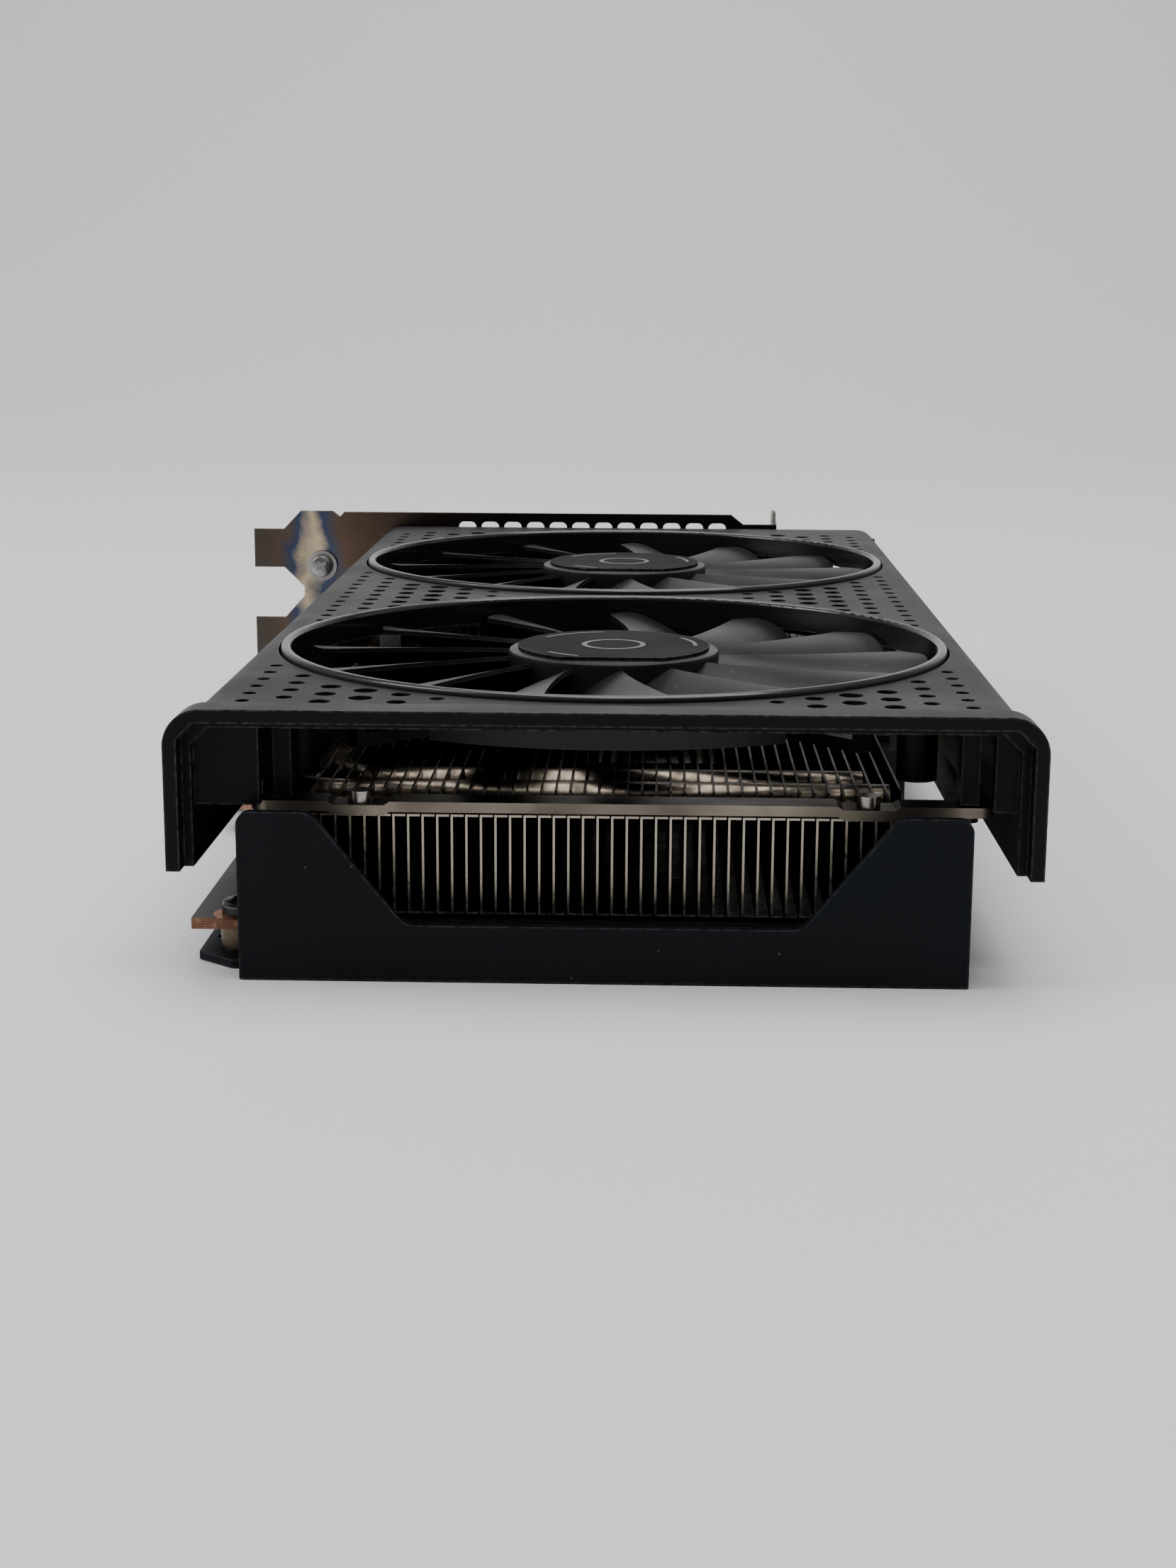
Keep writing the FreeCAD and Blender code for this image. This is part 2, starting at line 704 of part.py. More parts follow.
strap("strap_near")
rail = outline(sketch(mid_frame, "XY_Plane", "frame_low"), [
    ("frame_right - rail_wide", "-strap_near + strap_deep/2"), ("frame_right", "-strap_near + strap_deep/2"),
    ("frame_right", "strap_far - strap_deep/2"), ("frame_right - rail_wide", "strap_far - strap_deep/2")])
pad(mid_frame, rail, "frame_thick")
strap("strap_deep - strap_far")
fillet(mid_frame, 2.2, lambda e: runs_along(e, (0, 0, 1)) and (
    near(e.CenterOfMass.x, -size.frame_left) or near(e.CenterOfMass.x, size.frame_right)))
strap_bores = sketch(mid_frame, "XY_Plane", "frame_low - 1")
for x, end in POSTS:
    circle(strap_bores, x, strap_middle(end), "small_screw_r + screw_fit")
pocket(mid_frame, strap_bores, "frame_thick + 2", True)

rivets = [rod("rivet_r", "rivet_high", x, strap_middle(end), "frame_low + frame_thick - frame_joggle")
          for x in ("-rivet_x", "rivet_x + 2.2") for end in (-1, 1)]
node(group(*rivets), "frame_rivets")

shroud_screws = []
for x, end in POSTS:
    head = rod("small_head_r", "small_head_high", x, strap_middle(end), "frame_low - small_head_high")
    shank = rod("small_screw_r", "frame_thick + 4", x, strap_middle(end), "frame_low")
    shroud_screws.append(fuse(head, shank))
node(group(*shroud_screws), "shroud_screws")


# --- heatsink ----------------------------------------------------------------------------------
# Bent heat pipes rise from the cold plate and cross the stack of stamped fins at each end.

def pipe_shape(points, radius, bend):
    """Round bar along straight runs joined by tangent arcs."""
    edges = []
    start = points[0]
    for before, corner, after in zip(points, points[1:], points[2:]):
        inward = (before - corner).normalize()
        outward = (after - corner).normalize()
        turn = math.pi - inward.getAngle(outward)
        reach = bend * math.tan(turn / 2)
        first = corner + inward * reach
        last = corner + outward * reach
        half_way = (inward + outward).normalize()
        middle = corner + half_way * (bend / math.cos(turn / 2) - bend)
        edges.append(Part.LineSegment(start, first).toShape())
        edges.append(Part.Arc(first, middle, last).toShape())
        start = last
    edges.append(Part.LineSegment(start, points[-1]).toShape())
    path = Part.Wire(edges)
    section = Part.Wire([Part.Circle(points[0], points[1] - points[0], radius).toShape()])
    return path.makePipeShell([section], True, False)


def pipe_points(side, start_x, run_x, leave_y, rise, cross_y, end_x):
    """Corners of one pipe: along X on the cold plate, up and along Y, then across the fins."""
    plate_z = size.board_low + size.pcb_thick + size.package_thick + size.die_thick + size.plate_thick
    low = plate_z + size.pipe_r
    high = size.pipe_high
    return [Vector(start_x, leave_y, low), Vector(side * run_x, leave_y, low),
            Vector(side * run_x, leave_y + side * rise, high), Vector(side * run_x, side * cross_y, high),
            Vector(end_x, side * cross_y, high)]


PIPES = {
    "front_outer_pipe": pipe_points(-1, 28, 46.5, -2, 28, 98, 39),
    "front_inner_pipe": pipe_points(-1, 28, 39.5, -12, 26, 89.5, 36),
    "rear_outer_pipe": pipe_points(1, -28, 42.5, 8, 28, 92, -39),
    "rear_inner_pipe": pipe_points(1, -28, 35.0, 18, 26, 83, -36),
}
for pipe_name, corners in PIPES.items():
    node(feature(pipe_shape(corners, size.pipe_r, size.pipe_bend)), pipe_name)
doc.recompute()

plate_low = "(board_low + pcb_thick + package_thick + die_thick)"
spring_spots = [(x, y) for x in ("-spring_x", "spring_x") for y in ("gpu_y - spring_x", "gpu_y + spring_x")]
cold_plate = cut(slab("2*plate_half_x", "2*plate_half_y", "plate_thick", 0, "gpu_y", plate_low),
                 *[rod("screw_r + screw_fit", "plate_thick - 0.6 + 1", x, y, "%s - 1" % plate_low)
                   for x, y in spring_spots])
node(cold_plate, "cold_plate")

fin = doc.addObject("PartDesign::Body", "Fin")
fin_profile = sketch(fin, "YZ_Plane", "0")
outline(fin_profile, [
    ("-fin_near", "fin_low"), ("-fin_raise_near", "fin_low"),
    ("-fin_raise_near", "%s + plate_thick" % plate_low), ("fin_far", "%s + plate_thick" % plate_low),
    ("fin_far", "fin_top"), ("-fin_step", "fin_top"), ("-fin_step", "fin_front_top"),
    ("-fin_near", "fin_front_top")])
pad(fin, fin_profile, "fin_thick")
tabs = sketch(fin, "YZ_Plane", "fin_thick/2")
for low, last in (("fin_low", "-fin_raise_near"), ("fin_front_top - fin_thick", "-fin_step")):
    outline(tabs, [("-fin_near", low), (last, low), (last, "%s + fin_thick" % low),
                   ("-fin_near", "%s + fin_thick" % low)])
pad(fin, tabs, "fin_tab + fin_thick/2")

STANDOFFS = [("-49.8", "11.5 - card_half"), ("43.6", "11.5 - card_half"), ("-59", "-24"), ("43.6", "22"),
             ("-59", "card_half - 28"), ("43.6", "card_half - 9")]
trimmers = [pipe_shape(corners, size.pipe_r + size.solder_gap, size.pipe_bend) for corners in PIPES.values()]
socket_x = size.pcb_right - size.socket_deep
trimmers.append(Part.makeBox(40, size.socket_wide + 2, size.socket_high + size.board_low + size.pcb_thick + 2,
                             Vector(socket_x - 1, size.socket_y - size.socket_wide / 2 - 1, 0)))
for screw_x, screw_y in STANDOFFS:
    trimmers.append(Part.makeCylinder(size.head_r + 0.6, size.pcb_thick + size.head_high + 0.5,
                                      Vector(worth(screw_x), worth(screw_y), size.board_low)))
trimmer = trimmers[0].fuse(trimmers[1:])
first_fin = -(size.fin_count - 1) / 2 * size.fin_pitch - size.fin_thick / 2
fins = []
for number in range(int(size.fin_count)):
    blank = fin.Shape.translated(Vector(first_fin + number * size.fin_pitch, 0, 0))
    fins.extend(blank.cut(trimmer).Solids)
node(feature(Part.makeCompound([f for f in fins if f.Volume > 5])), "fin_stack")


# --- circuit board -----------------------------------------------------------------------------
# The board carries the edge connector, the processor package, memory, and the power stage.

board_top = "(board_low + pcb_thick)"
pcb = body("circuit_board")
tongue_root = "-pcb_left"
key_start = "finger_far - finger_short"
key_end = "finger_far - finger_short - finger_key"
finger_end = "finger_far - finger_short - finger_key - finger_long"
outline_points = [
    ("-pcb_left_near", "-pcb_near"), ("pcb_right", "-pcb_near"), ("pcb_right", "pcb_far"),
    (tongue_root, "pcb_far"), (tongue_root, "finger_far"), ("-finger_tip + 1", "finger_far"),
    ("-finger_tip", "finger_far - 1"), ("-finger_tip", "%s + 0.6" % key_start), ("-finger_tip + 0.6", key_start),
    (tongue_root, key_start), (tongue_root, key_end), ("-finger_tip + 0.6", key_end),
    ("-finger_tip", "%s - 0.6" % key_end), ("-finger_tip", "%s + 1" % finger_end),
    ("-finger_tip + 1", finger_end), (tongue_root, finger_end), (tongue_root, "%s - 3.2" % finger_end),
    ("-finger_tip + 2", "%s - 3.2" % finger_end), ("-finger_tip + 2", "%s - 9" % finger_end),
    (tongue_root, "%s - 9" % finger_end), (tongue_root, "%s - 22" % finger_end),
    ("-pcb_left_near", "%s - 31.25" % finger_end)]
pad(pcb, outline(sketch(pcb, "XY_Plane", "board_low"), outline_points), "pcb_thick")

LUGS = [("-61", "card_half - 7.5"), ("30.6", "card_half - 7.5")]
pcb_bores = sketch(pcb, "XY_Plane", "board_low - 1")
for x, y in STANDOFFS + LUGS + spring_spots:
    circle(pcb_bores, x, y, "screw_r + screw_fit")
pocket(pcb, pcb_bores, "pcb_thick + 2", True)

contacts = []
pad_rows = [(key_start, "0.35", 11), (finger_end, "0.75", 71)]
for face in (board_top, "(board_low - contact_thick)"):
    for start, lead, count in pad_rows:
        for number in range(count):
            contacts.append(box("contact_long", "contact_wide", "contact_thick", "-finger_tip + 1.4",
                                "%s + %s + %d*contact_pitch" % (start, lead, number), face))
node(group(*contacts), "edge_contacts")

node(slab("2*package_half", "2*package_half", "package_thick", 0, "gpu_y", board_top), "processor_package")
node(slab("2*die_x", "2*die_y", "die_thick", 0, "gpu_y", "%s + package_thick" % board_top), "processor_die")

memory_spots = [(side * 1.0, along, False) for side in (-1, 1) for along in (-1, 1)]
memory_spots += [(side * 1.0, along, True) for side in (-1, 1) for along in (-1, 1)]
chips, cushions = [], []
for side, along, turned in memory_spots:
    across, lengthways = "%d*memory_ring" % side, "%d*memory_side" % along
    wide, long = "memory_wide", "memory_long"
    x, y = (lengthways, across) if turned else (across, lengthways)
    spans = (long, wide) if turned else (wide, long)
    chips.append(slab(*spans, "memory_thick", x, "gpu_y + %s" % y, board_top))
    cushions.append(slab("%s - 2" % spans[0], "%s - 2" % spans[1],
                         "package_thick + die_thick - memory_thick", x, "gpu_y + %s" % y,
                         "%s + memory_thick" % board_top))
node(group(*chips), "memory_chips")
node(group(*cushions), "thermal_pads")

chokes = [slab("choke_side", "choke_side", "choke_high", "-30 + %d*(choke_side + 2.2)" % n, 58, board_top)
          for n in range(7)]
node(group(*chokes), "power_chokes")
fets = [slab("fet_wide", "fet_long", "fet_thick", "-30 + %d*(choke_side + 2.2)" % n, 48, board_top)
        for n in range(7)]
node(group(*fets), "power_transistors")
cans = [rod("can_r", "can_high", "-34 + %d*(2*can_r + 2.6)" % n, 74, board_top) for n in range(8)]
node(group(*cans), "capacitor_cans")
header = cut(slab(7.6, 4.6, 4.6, -52, -60, board_top), slab(6.2, 3.2, 4.6, -52, -60, "%s + 1" % board_top))
node(header, "fan_header")


# --- power socket ------------------------------------------------------------------------------
# Eight cells in two rows, each with its pin, opening sideways at the board's edge.

socket_floor_z = "(board_low + pcb_thick)"
housing = slab("socket_deep", "socket_wide", "socket_high", "pcb_right + socket_proud - socket_deep/2",
               "socket_y", socket_floor_z)
latch = slab("socket_deep - 4", 6, 1.2, "pcb_right + socket_proud - socket_deep/2", "socket_y",
             "%s + socket_high" % socket_floor_z)
cells, pins = [], []
for row in (-0.5, 0.5):
    for number in (-1.5, -0.5, 0.5, 1.5):
        y = "socket_y + %.1f*socket_pitch" % number
        z = "%s + socket_high/2 + %.1f*socket_pitch" % (socket_floor_z, row)
        cells.append(box("socket_deep", "socket_cell", "socket_cell",
                         "pcb_right + socket_proud - socket_deep + socket_floor", "%s - socket_cell/2" % y,
                         "%s - socket_cell/2" % z))
        pins.append(box("socket_deep - socket_floor - 2", 1.1, 1.1,
                        "pcb_right + socket_proud - socket_deep + socket_floor", "%s - 0.55" % y,
                        "%s - 0.55" % z))
node(cut(fuse(housing, latch), *cells), "power_socket")
node(group(*pins), "power_pins")


# --- display sockets ---------------------------------------------------------------------------
# Three sockets of one kind and one of another stand on the board and reach through the bracket.

port_mouth = "(card_half + bracket_thick + port_proud)"


def port(x, wide):
    """Folded metal shell with an open mouth, and the tongue inside it."""
    low = "board_low + pcb_thick"
    shell = cut(slab(wide, "dp_deep", "dp_high", x, "%s - dp_deep/2" % port_mouth, low),
                slab("%s - 2*dp_skin" % wide, "dp_deep", "dp_high - 2*dp_skin", x,
                     "%s - dp_deep/2 + 2.5" % port_mouth, "%s + dp_skin" % low))
    blade = slab("%s - 4.4" % wide, "dp_deep - 4.5", "tongue_thick", x, "%s - (dp_deep - 4.5)/2 - 2" % port_mouth,
                 "%s + dp_high/2 - tongue_thick/2" % low)
    return shell, blade


port_xs = ["port_first_x + %d*port_pitch" % n for n in range(4)]
dp_shells, dp_tongues = zip(*[port(x, "dp_wide") for x in port_xs[:3]])
node(group(*dp_shells), "display_socket_shells")
node(group(*dp_tongues), "display_socket_tongues")
video_shell, video_tongue = port(port_xs[3], "hdmi_wide")
node(video_shell, "video_socket_shell")
node(video_tongue, "video_socket_tongue")


# --- I/O bracket -------------------------------------------------------------------------------
# One plate of bent steel: two tongues at the foot, a flange at the head, a row of vents and the
# socket openings, and two lugs folded in over the board.

bracket = body("io_bracket")
tip = "-(bracket_total - flange_x)"
face = sketch(bracket, "XZ_Plane", "-card_half")
tongue_tops = ["tongue_low + tongue_wide", "tongue_low + tongue_pitch + tongue_wide"]
shoulder = "-bracket_body_x - 4"
outline(face, [
    ("-bracket_body_x", "0.6"), ("-bracket_body_x + 1", "0"), ("flange_x - 7.6", "0"), ("flange_x - 5.4", "2.2"),
    ("flange_x", "2.2"), ("flange_x", "bracket_high - 2.4"), ("flange_x - 7.6", "bracket_high - 2.4"),
    ("flange_x - 10.4", "bracket_high - 0.2"), ("-bracket_body_x + 10", "bracket_high - 0.2"),
    ("-bracket_body_x + 9", "bracket_high - 1.3"), ("-bracket_body_x + 7.4", "bracket_high"),
    ("-bracket_body_x", "bracket_high"), (shoulder, tongue_tops[1]), (tip, tongue_tops[1]),
    (tip, "tongue_low + tongue_pitch"), (shoulder, "tongue_low + tongue_pitch"),
    ("-bracket_body_x + 0.5", "tongue_low + tongue_pitch - 4.4"),
    ("-bracket_body_x + 0.5", "tongue_low + tongue_wide + 5"), (shoulder, tongue_tops[0]),
    (tip, tongue_tops[0]), (tip, "tongue_low"), (shoulder, "tongue_low")])
pad(bracket, face, "bracket_thick", True)
flange = outline(sketch(bracket, "YZ_Plane", "flange_x"), [
    ("card_half", "2.2"), ("card_half + bracket_thick + flange_deep - 2", "2.2"),
    ("card_half + bracket_thick + flange_deep", "4.2"),
    ("card_half + bracket_thick + flange_deep", "bracket_high - 2"),
    ("card_half + bracket_thick + flange_deep - 2", "bracket_high"), ("card_half + 4", "bracket_high"),
    ("card_half + 2.4", "bracket_high - 2.4"), ("card_half", "bracket_high - 2.4")])
pad(bracket, flange, "bracket_thick", True)
notches = sketch(bracket, "YZ_Plane", "flange_x + 1")
for z in ("tongue_low + tongue_wide/2", "tongue_low + tongue_pitch + tongue_wide/2"):
    end_y = "card_half + bracket_thick + flange_deep"
    outline(notches, [("%s - 6.4" % end_y, "%s - 2.2" % z), ("%s + 1" % end_y, "%s - 2.2" % z),
                      ("%s + 1" % end_y, "%s + 2.2" % z), ("%s - 6.4" % end_y, "%s + 2.2" % z)])
pocket(bracket, notches, "bracket_thick + 2")
fillet(bracket, "2.1", lambda e: runs_along(e, (1, 0, 0)) and near(
    e.CenterOfMass.y, size.card_half + size.bracket_thick + size.flange_deep - 6.4))
lugs = sketch(bracket, "XY_Plane", board_top)
for x, y in LUGS:
    outline(lugs, [("%s - lug_wide/2" % x, "card_half - lug_deep"), ("%s + lug_wide/2" % x, "card_half - lug_deep"),
                   ("%s + lug_wide/2" % x, "card_half + bracket_thick/2"),
                   ("%s - lug_wide/2" % x, "card_half + bracket_thick/2")])
pad(bracket, lugs, "bracket_thick")
lug_bores = sketch(bracket, "XY_Plane", "%s - 1" % board_top)
for x, y in LUGS:
    circle(lug_bores, x, y, "screw_r + screw_fit")
pocket(bracket, lug_bores, "bracket_thick + 2", True)

vents = sketch(bracket, "XZ_Plane", "-card_half + 1")
for number in range(int(size.vent_count)):
    middle = "vent_last_x - %d*vent_pitch" % number
    outline(vents, [("%s - vent_wide/2" % middle, "vent_low"), ("%s + vent_wide/2" % middle, "vent_low"),
                    ("%s + vent_wide/2" % middle, "vent_high"), ("%s - vent_wide/2" % middle, "vent_high")])
pocket(bracket, vents, "bracket_thick + 2")
fillet(bracket, "1.2", lambda e: runs_along(e, (0, 1, 0)) and (
    near(e.CenterOfMass.z, size.vent_low) or near(e.CenterOfMass.z, size.vent_high))
    and -42 < e.CenterOfMass.x < 24)
mouths = sketch(bracket, "XZ_Plane", "-card_half + 1")
for number, x in enumerate(port_xs):
    wide = "dp_wide" if number < 3 else "hdmi_wide"
    low, high = "board_low + pcb_thick - port_gap", "board_low + pcb_thick + dp_high + port_gap"
    outline(mouths, [("%s - %s/2 - port_gap" % (x, wide), low), ("%s + %s/2 + port_gap" % (x, wide), low),
                     ("%s + %s/2 + port_gap" % (x, wide), high), ("%s - %s/2 - port_gap" % (x, wide), high)])
circle(mouths, "-bracket_screw_x", "bracket_screw_z", "1.5")
pocket(bracket, mouths, "bracket_thick + 2")

turned = {"axis": (1, 0, 0), "angle": -90}
screw_head = rod("bracket_screw_r", 1.0, "-bracket_screw_x", "card_half - 1", "bracket_screw_z", **turned)
screw_dome = rod("bracket_screw_r - 1", 1.2, "-bracket_screw_x", "card_half - 2.2", "bracket_screw_z", **turned)
screw_shank = rod("1.4", "bracket_thick + 1.6", "-bracket_screw_x", "card_half - 0.5", "bracket_screw_z", **turned)
node(fuse(screw_head, screw_dome, screw_shank), "bracket_screw")
lug_screws = []
for x, y in LUGS:
    lug_screws.append(fuse(rod("head_r - 0.3", "head_high", x, y, "%s + bracket_thick" % board_top),
                           rod("screw_r", "pcb_thick + bracket_thick + 0.8", x, y, "board_low - 0.8")))
node(group(*lug_screws), "lug_screws")


# --- backplate ---------------------------------------------------------------------------------
# Coated steel under the board, folded up at the open end into a wall with a tapered window.

backplate = body("backplate")
floor = outline(sketch(backplate, "XY_Plane", "0"), [
    ("-back_half", "-card_half"), ("back_half", "-card_half"), ("back_half", "back_far"),
    ("-back_left", "back_far"), ("-back_left", "-back_step"), ("-back_left_near", "-back_step - 7"),
    ("-back_left_near", "-back_step_near"), ("-back_half - 2", "-back_step_near - 4"),
    ("-back_half", "-back_step_near - 4")])
pad(backplate, floor, "back_thick")
wall = outline(sketch(backplate, "XZ_Plane", "card_half"), [
    ("-back_half", "0"), ("back_half", "0"), ("back_half", "wall_top"), ("window_top_half", "wall_top"),
    ("window_low_half", "window_low"), ("-window_low_half", "window_low"), ("-window_top_half", "wall_top"),
    ("-back_half", "wall_top")])
pad(backplate, wall, "wall_thick", True)
fillet(backplate, "wall_round", lambda e: runs_along(e, (0, 1, 0)) and near(e.CenterOfMass.z, size.wall_top)
       and near(abs(e.CenterOfMass.x), size.back_half))
fillet(backplate, 3.2, lambda e: runs_along(e, (0, 1, 0)) and near(e.CenterOfMass.z, size.wall_top)
       and abs(e.CenterOfMass.x) < size.window_top_half + 0.1)
fillet(backplate, 3.0, lambda e: runs_along(e, (0, 1, 0)) and near(e.CenterOfMass.z, size.window_low)
       and near(abs(e.CenterOfMass.x), size.window_low_half))
plate_bores = sketch(backplate, "XY_Plane", "-1")
for x, y in STANDOFFS:
    circle(plate_bores, x, y, "screw_r - 0.2")
for x, y in spring_spots:
    circle(plate_bores, x, y, "head_r + 0.6")
circle(plate_bores, -53.2, -103.6, 0.7)
pocket(backplate, plate_bores, "back_thick + 2", True)

supports, board_screws = [], []
for x, y in STANDOFFS:
    supports.append(tube("standoff_r", "screw_r + screw_fit", "board_low - back_thick", x, y, "back_thick"))
    board_screws.append(fuse(rod("head_r", "head_high", x, y, board_top),
                             rod("screw_r", "pcb_thick + 2.4", x, y, "%s - pcb_thick - 2.4" % board_top)))
node(group(*supports), "board_standoffs")
node(group(*board_screws), "board_screws")

arms = []
for angle in (45, 135):
    turn = math.radians(angle)
    reach = "(spring_x*1.4142 + 4)"
    arms.append(box("2*%s" % reach, 7, "spring_plate",
                    "-%s*%.6f + 3.5*%.6f" % (reach, math.cos(turn), math.sin(turn)),
                    "gpu_y - %s*%.6f - 3.5*%.6f" % (reach, math.sin(turn), math.cos(turn)), "spring_low", angle))
hub_plate = slab(24, 24, "spring_plate", 0, "gpu_y", "spring_low")
node(cut(fuse(hub_plate, *arms), *[rod("screw_r + screw_fit", 10, x, y, 0) for x, y in spring_spots]),
     "retention_plate")
spring_screws = [fuse(rod("head_r", "1.1", x, y, "spring_low - 1.1"),
                      rod("screw_r", "%s + plate_thick - 1.2 - spring_low" % plate_low, x, y, "spring_low"))
                 for x, y in spring_spots]
node(group(*spring_screws), "retention_screws")


# --- checks and files --------------------------------------------------------------------------

doc.recompute()
problems = []
for item in doc.Objects:
    if "Invalid" in item.State or "Error" in item.State:
        problems.append("%s (%s): %s" % (item.Name, item.Label, item.State))
for item in nodes:
    if item.Shape.isNull() or not item.Shape.isValid() or not item.Shape.Solids:
        problems.append("%s has no valid solid" % item.Label)
if problems:
    raise RuntimeError("\n".join(problems))

os.makedirs("parts", exist_ok=True)
for item in nodes:
    item.Shape.exportStep("parts/%s.step" % item.Label)
print("%d nodes written" % len(nodes))
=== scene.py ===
import json
import math
import random

import bmesh
import bpy
from mathutils import Matrix, Vector


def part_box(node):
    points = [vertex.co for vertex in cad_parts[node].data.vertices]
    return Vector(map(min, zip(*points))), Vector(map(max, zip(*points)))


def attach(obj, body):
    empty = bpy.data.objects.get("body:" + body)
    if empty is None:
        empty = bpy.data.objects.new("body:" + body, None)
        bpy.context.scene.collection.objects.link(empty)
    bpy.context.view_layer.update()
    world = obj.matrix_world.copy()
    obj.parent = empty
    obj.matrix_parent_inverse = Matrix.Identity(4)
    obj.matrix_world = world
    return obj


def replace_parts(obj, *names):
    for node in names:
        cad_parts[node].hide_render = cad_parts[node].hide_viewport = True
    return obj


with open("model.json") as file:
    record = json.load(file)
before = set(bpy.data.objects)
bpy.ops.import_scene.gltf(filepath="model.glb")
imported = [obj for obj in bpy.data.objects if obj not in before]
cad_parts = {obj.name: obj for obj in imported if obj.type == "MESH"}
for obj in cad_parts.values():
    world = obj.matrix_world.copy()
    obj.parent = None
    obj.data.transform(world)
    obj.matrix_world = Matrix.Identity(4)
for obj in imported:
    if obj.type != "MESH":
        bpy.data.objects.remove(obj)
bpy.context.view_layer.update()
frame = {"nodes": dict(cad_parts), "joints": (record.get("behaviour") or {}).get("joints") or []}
nodes = frame["nodes"]
mm = 0.001


# --- Table, backdrop, lamps and camera -----------------------------------------------------------
# The card lies on a pale matt table that curves up into a plain backdrop, under one large soft
# lamp overhead and two weaker ones, at the left and in front.

def linked(name, shape):
    """Turns a finished bmesh into an object in the scene."""
    mesh = bpy.data.meshes.new(name)
    shape.to_mesh(mesh)
    shape.free()
    thing = bpy.data.objects.new(name, mesh)
    bpy.context.scene.collection.objects.link(thing)
    return thing


sweep = bmesh.new()
profile = [sweep.verts.new((-3, -2.2, 0)), sweep.verts.new((-3, 0.75, 0))]
sweep.edges.new(profile)
bend = bmesh.ops.spin(sweep, geom=[profile[1]], axis=(1, 0, 0), cent=(-3, 0.75, 0.6), dvec=(0, 0, 0),
                      angle=math.radians(78), steps=24)
last = [v for v in bend["geom_last"] if isinstance(v, bmesh.types.BMVert)][0]
rise = bmesh.ops.extrude_vert_indiv(sweep, verts=[last])
bmesh.ops.translate(sweep, verts=rise["verts"], vec=(0, 0.4, 2.6))
across = bmesh.ops.extrude_edge_only(sweep, edges=sweep.edges[:])
bmesh.ops.translate(sweep, verts=[v for v in across["geom"] if isinstance(v, bmesh.types.BMVert)],
                    vec=(6, 0, 0))
bmesh.ops.translate(sweep, verts=sweep.verts[:], vec=(0, 0, -0.00015))
bmesh.ops.recalc_face_normals(sweep, faces=sweep.faces[:])
for face in sweep.faces:
    face.smooth = True
backdrop = linked("backdrop", sweep)

paper = bpy.data.materials.new("backdrop_paper")
paper.use_nodes = True
paper_shader = paper.node_tree.nodes["Principled BSDF"]
paper_shader.inputs["Base Color"].default_value = (0.78, 0.785, 0.79, 1)
paper_shader.inputs["Roughness"].default_value = 0.6
paper_shader.inputs["Specular IOR Level"].default_value = 0.25
backdrop.data.materials.append(paper)

world = bpy.data.worlds.new("room")
bpy.context.scene.world = world
world.use_nodes = True
room = world.node_tree
facing = room.nodes.new("ShaderNodeSeparateXYZ")
room.links.new(room.nodes.new("ShaderNodeTexCoord").outputs["Generated"], facing.inputs[0])
fade = room.nodes.new("ShaderNodeMapRange")
room.links.new(facing.outputs["Y"], fade.inputs["Value"])
fade.inputs["From Min"].default_value = -0.75
fade.inputs["From Max"].default_value = 0.35
fade.inputs["To Min"].default_value = 0.1
fade.inputs["To Max"].default_value = 0.5
room.links.new(fade.outputs["Result"], room.nodes["Background"].inputs["Strength"])
room.nodes["Background"].inputs["Color"].default_value = (0.96, 0.97, 1.0, 1)


def lamp(name, place, aim, size, power, tint):
    """Rectangular soft lamp at a place, turned to its aim."""
    light = bpy.data.lights.new(name, "AREA")
    light.shape = "RECTANGLE"
    light.size, light.size_y = size
    light.energy = power
    light.color = tint
    thing = bpy.data.objects.new(name, light)
    thing.location = place
    thing.rotation_euler = (Vector(aim) - Vector(place)).to_track_quat("-Z", "Y").to_euler()
    bpy.context.scene.collection.objects.link(thing)


lamp("lamp_overhead", (0.1, 0.1, 1.5), (0, 0.05, 0), (1.8, 1.2), 27, (1.0, 0.99, 0.97))
lamp("lamp_left", (-0.8, -0.15, 0.65), (-0.22, 0, 0), (0.5, 0.6), 4.5, (0.95, 0.97, 1.0))
lamp("lamp_front", (0.5, -1.6, 0.9), (0, 0, 0.02), (1.1, 0.6), 0.8, (1.0, 0.98, 0.96))

camera = bpy.data.cameras.new("camera")
camera.sensor_fit = "VERTICAL"
camera.sensor_height = 36
camera.lens = 53.45
eye = (0.006515, -0.413791, 0.090756)
yaw, pitch, roll = -0.029, 0.214, -0.005
forward = Vector((math.sin(yaw) * math.cos(pitch), math.cos(yaw) * math.cos(pitch), -math.sin(pitch)))
right = Vector((math.cos(yaw), -math.sin(yaw), 0))
down = forward.cross(right)
right, down = (math.cos(roll) * right + math.sin(roll) * down,
               math.cos(roll) * down - math.sin(roll) * right)
turned = Matrix((right, -down, -forward)).transposed().to_4x4()
viewer = bpy.data.objects.new("camera", camera)
viewer.matrix_world = Matrix.Translation(eye) @ turned
bpy.context.scene.collection.objects.link(viewer)
bpy.context.scene.camera = viewer


# --- Shroud --------------------------------------------------------------------------------------
# A black moulded cover with a fine spark-eroded texture on its top.  Its sides and the collar
# round its open end are smoother.  Corners have rubbed paler, with a painted highlight added on
# the collar's top front edge, and dust lies on the top.

def effect(name, takes, gives):
    """Empty shader node group with named inputs and outputs."""
    group = bpy.data.node_groups.new(name, "ShaderNodeTree")
    for label, kind, value in takes:
        socket = group.interface.new_socket(label, in_out="INPUT", socket_type="NodeSocket" + kind)
        socket.default_value = value
    for label, kind in gives:
        group.interface.new_socket(label, in_out="OUTPUT", socket_type="NodeSocket" + kind)
    group.nodes.new("NodeGroupInput").name = "takes"
    group.nodes.new("NodeGroupOutput").name = "gives"
    return group


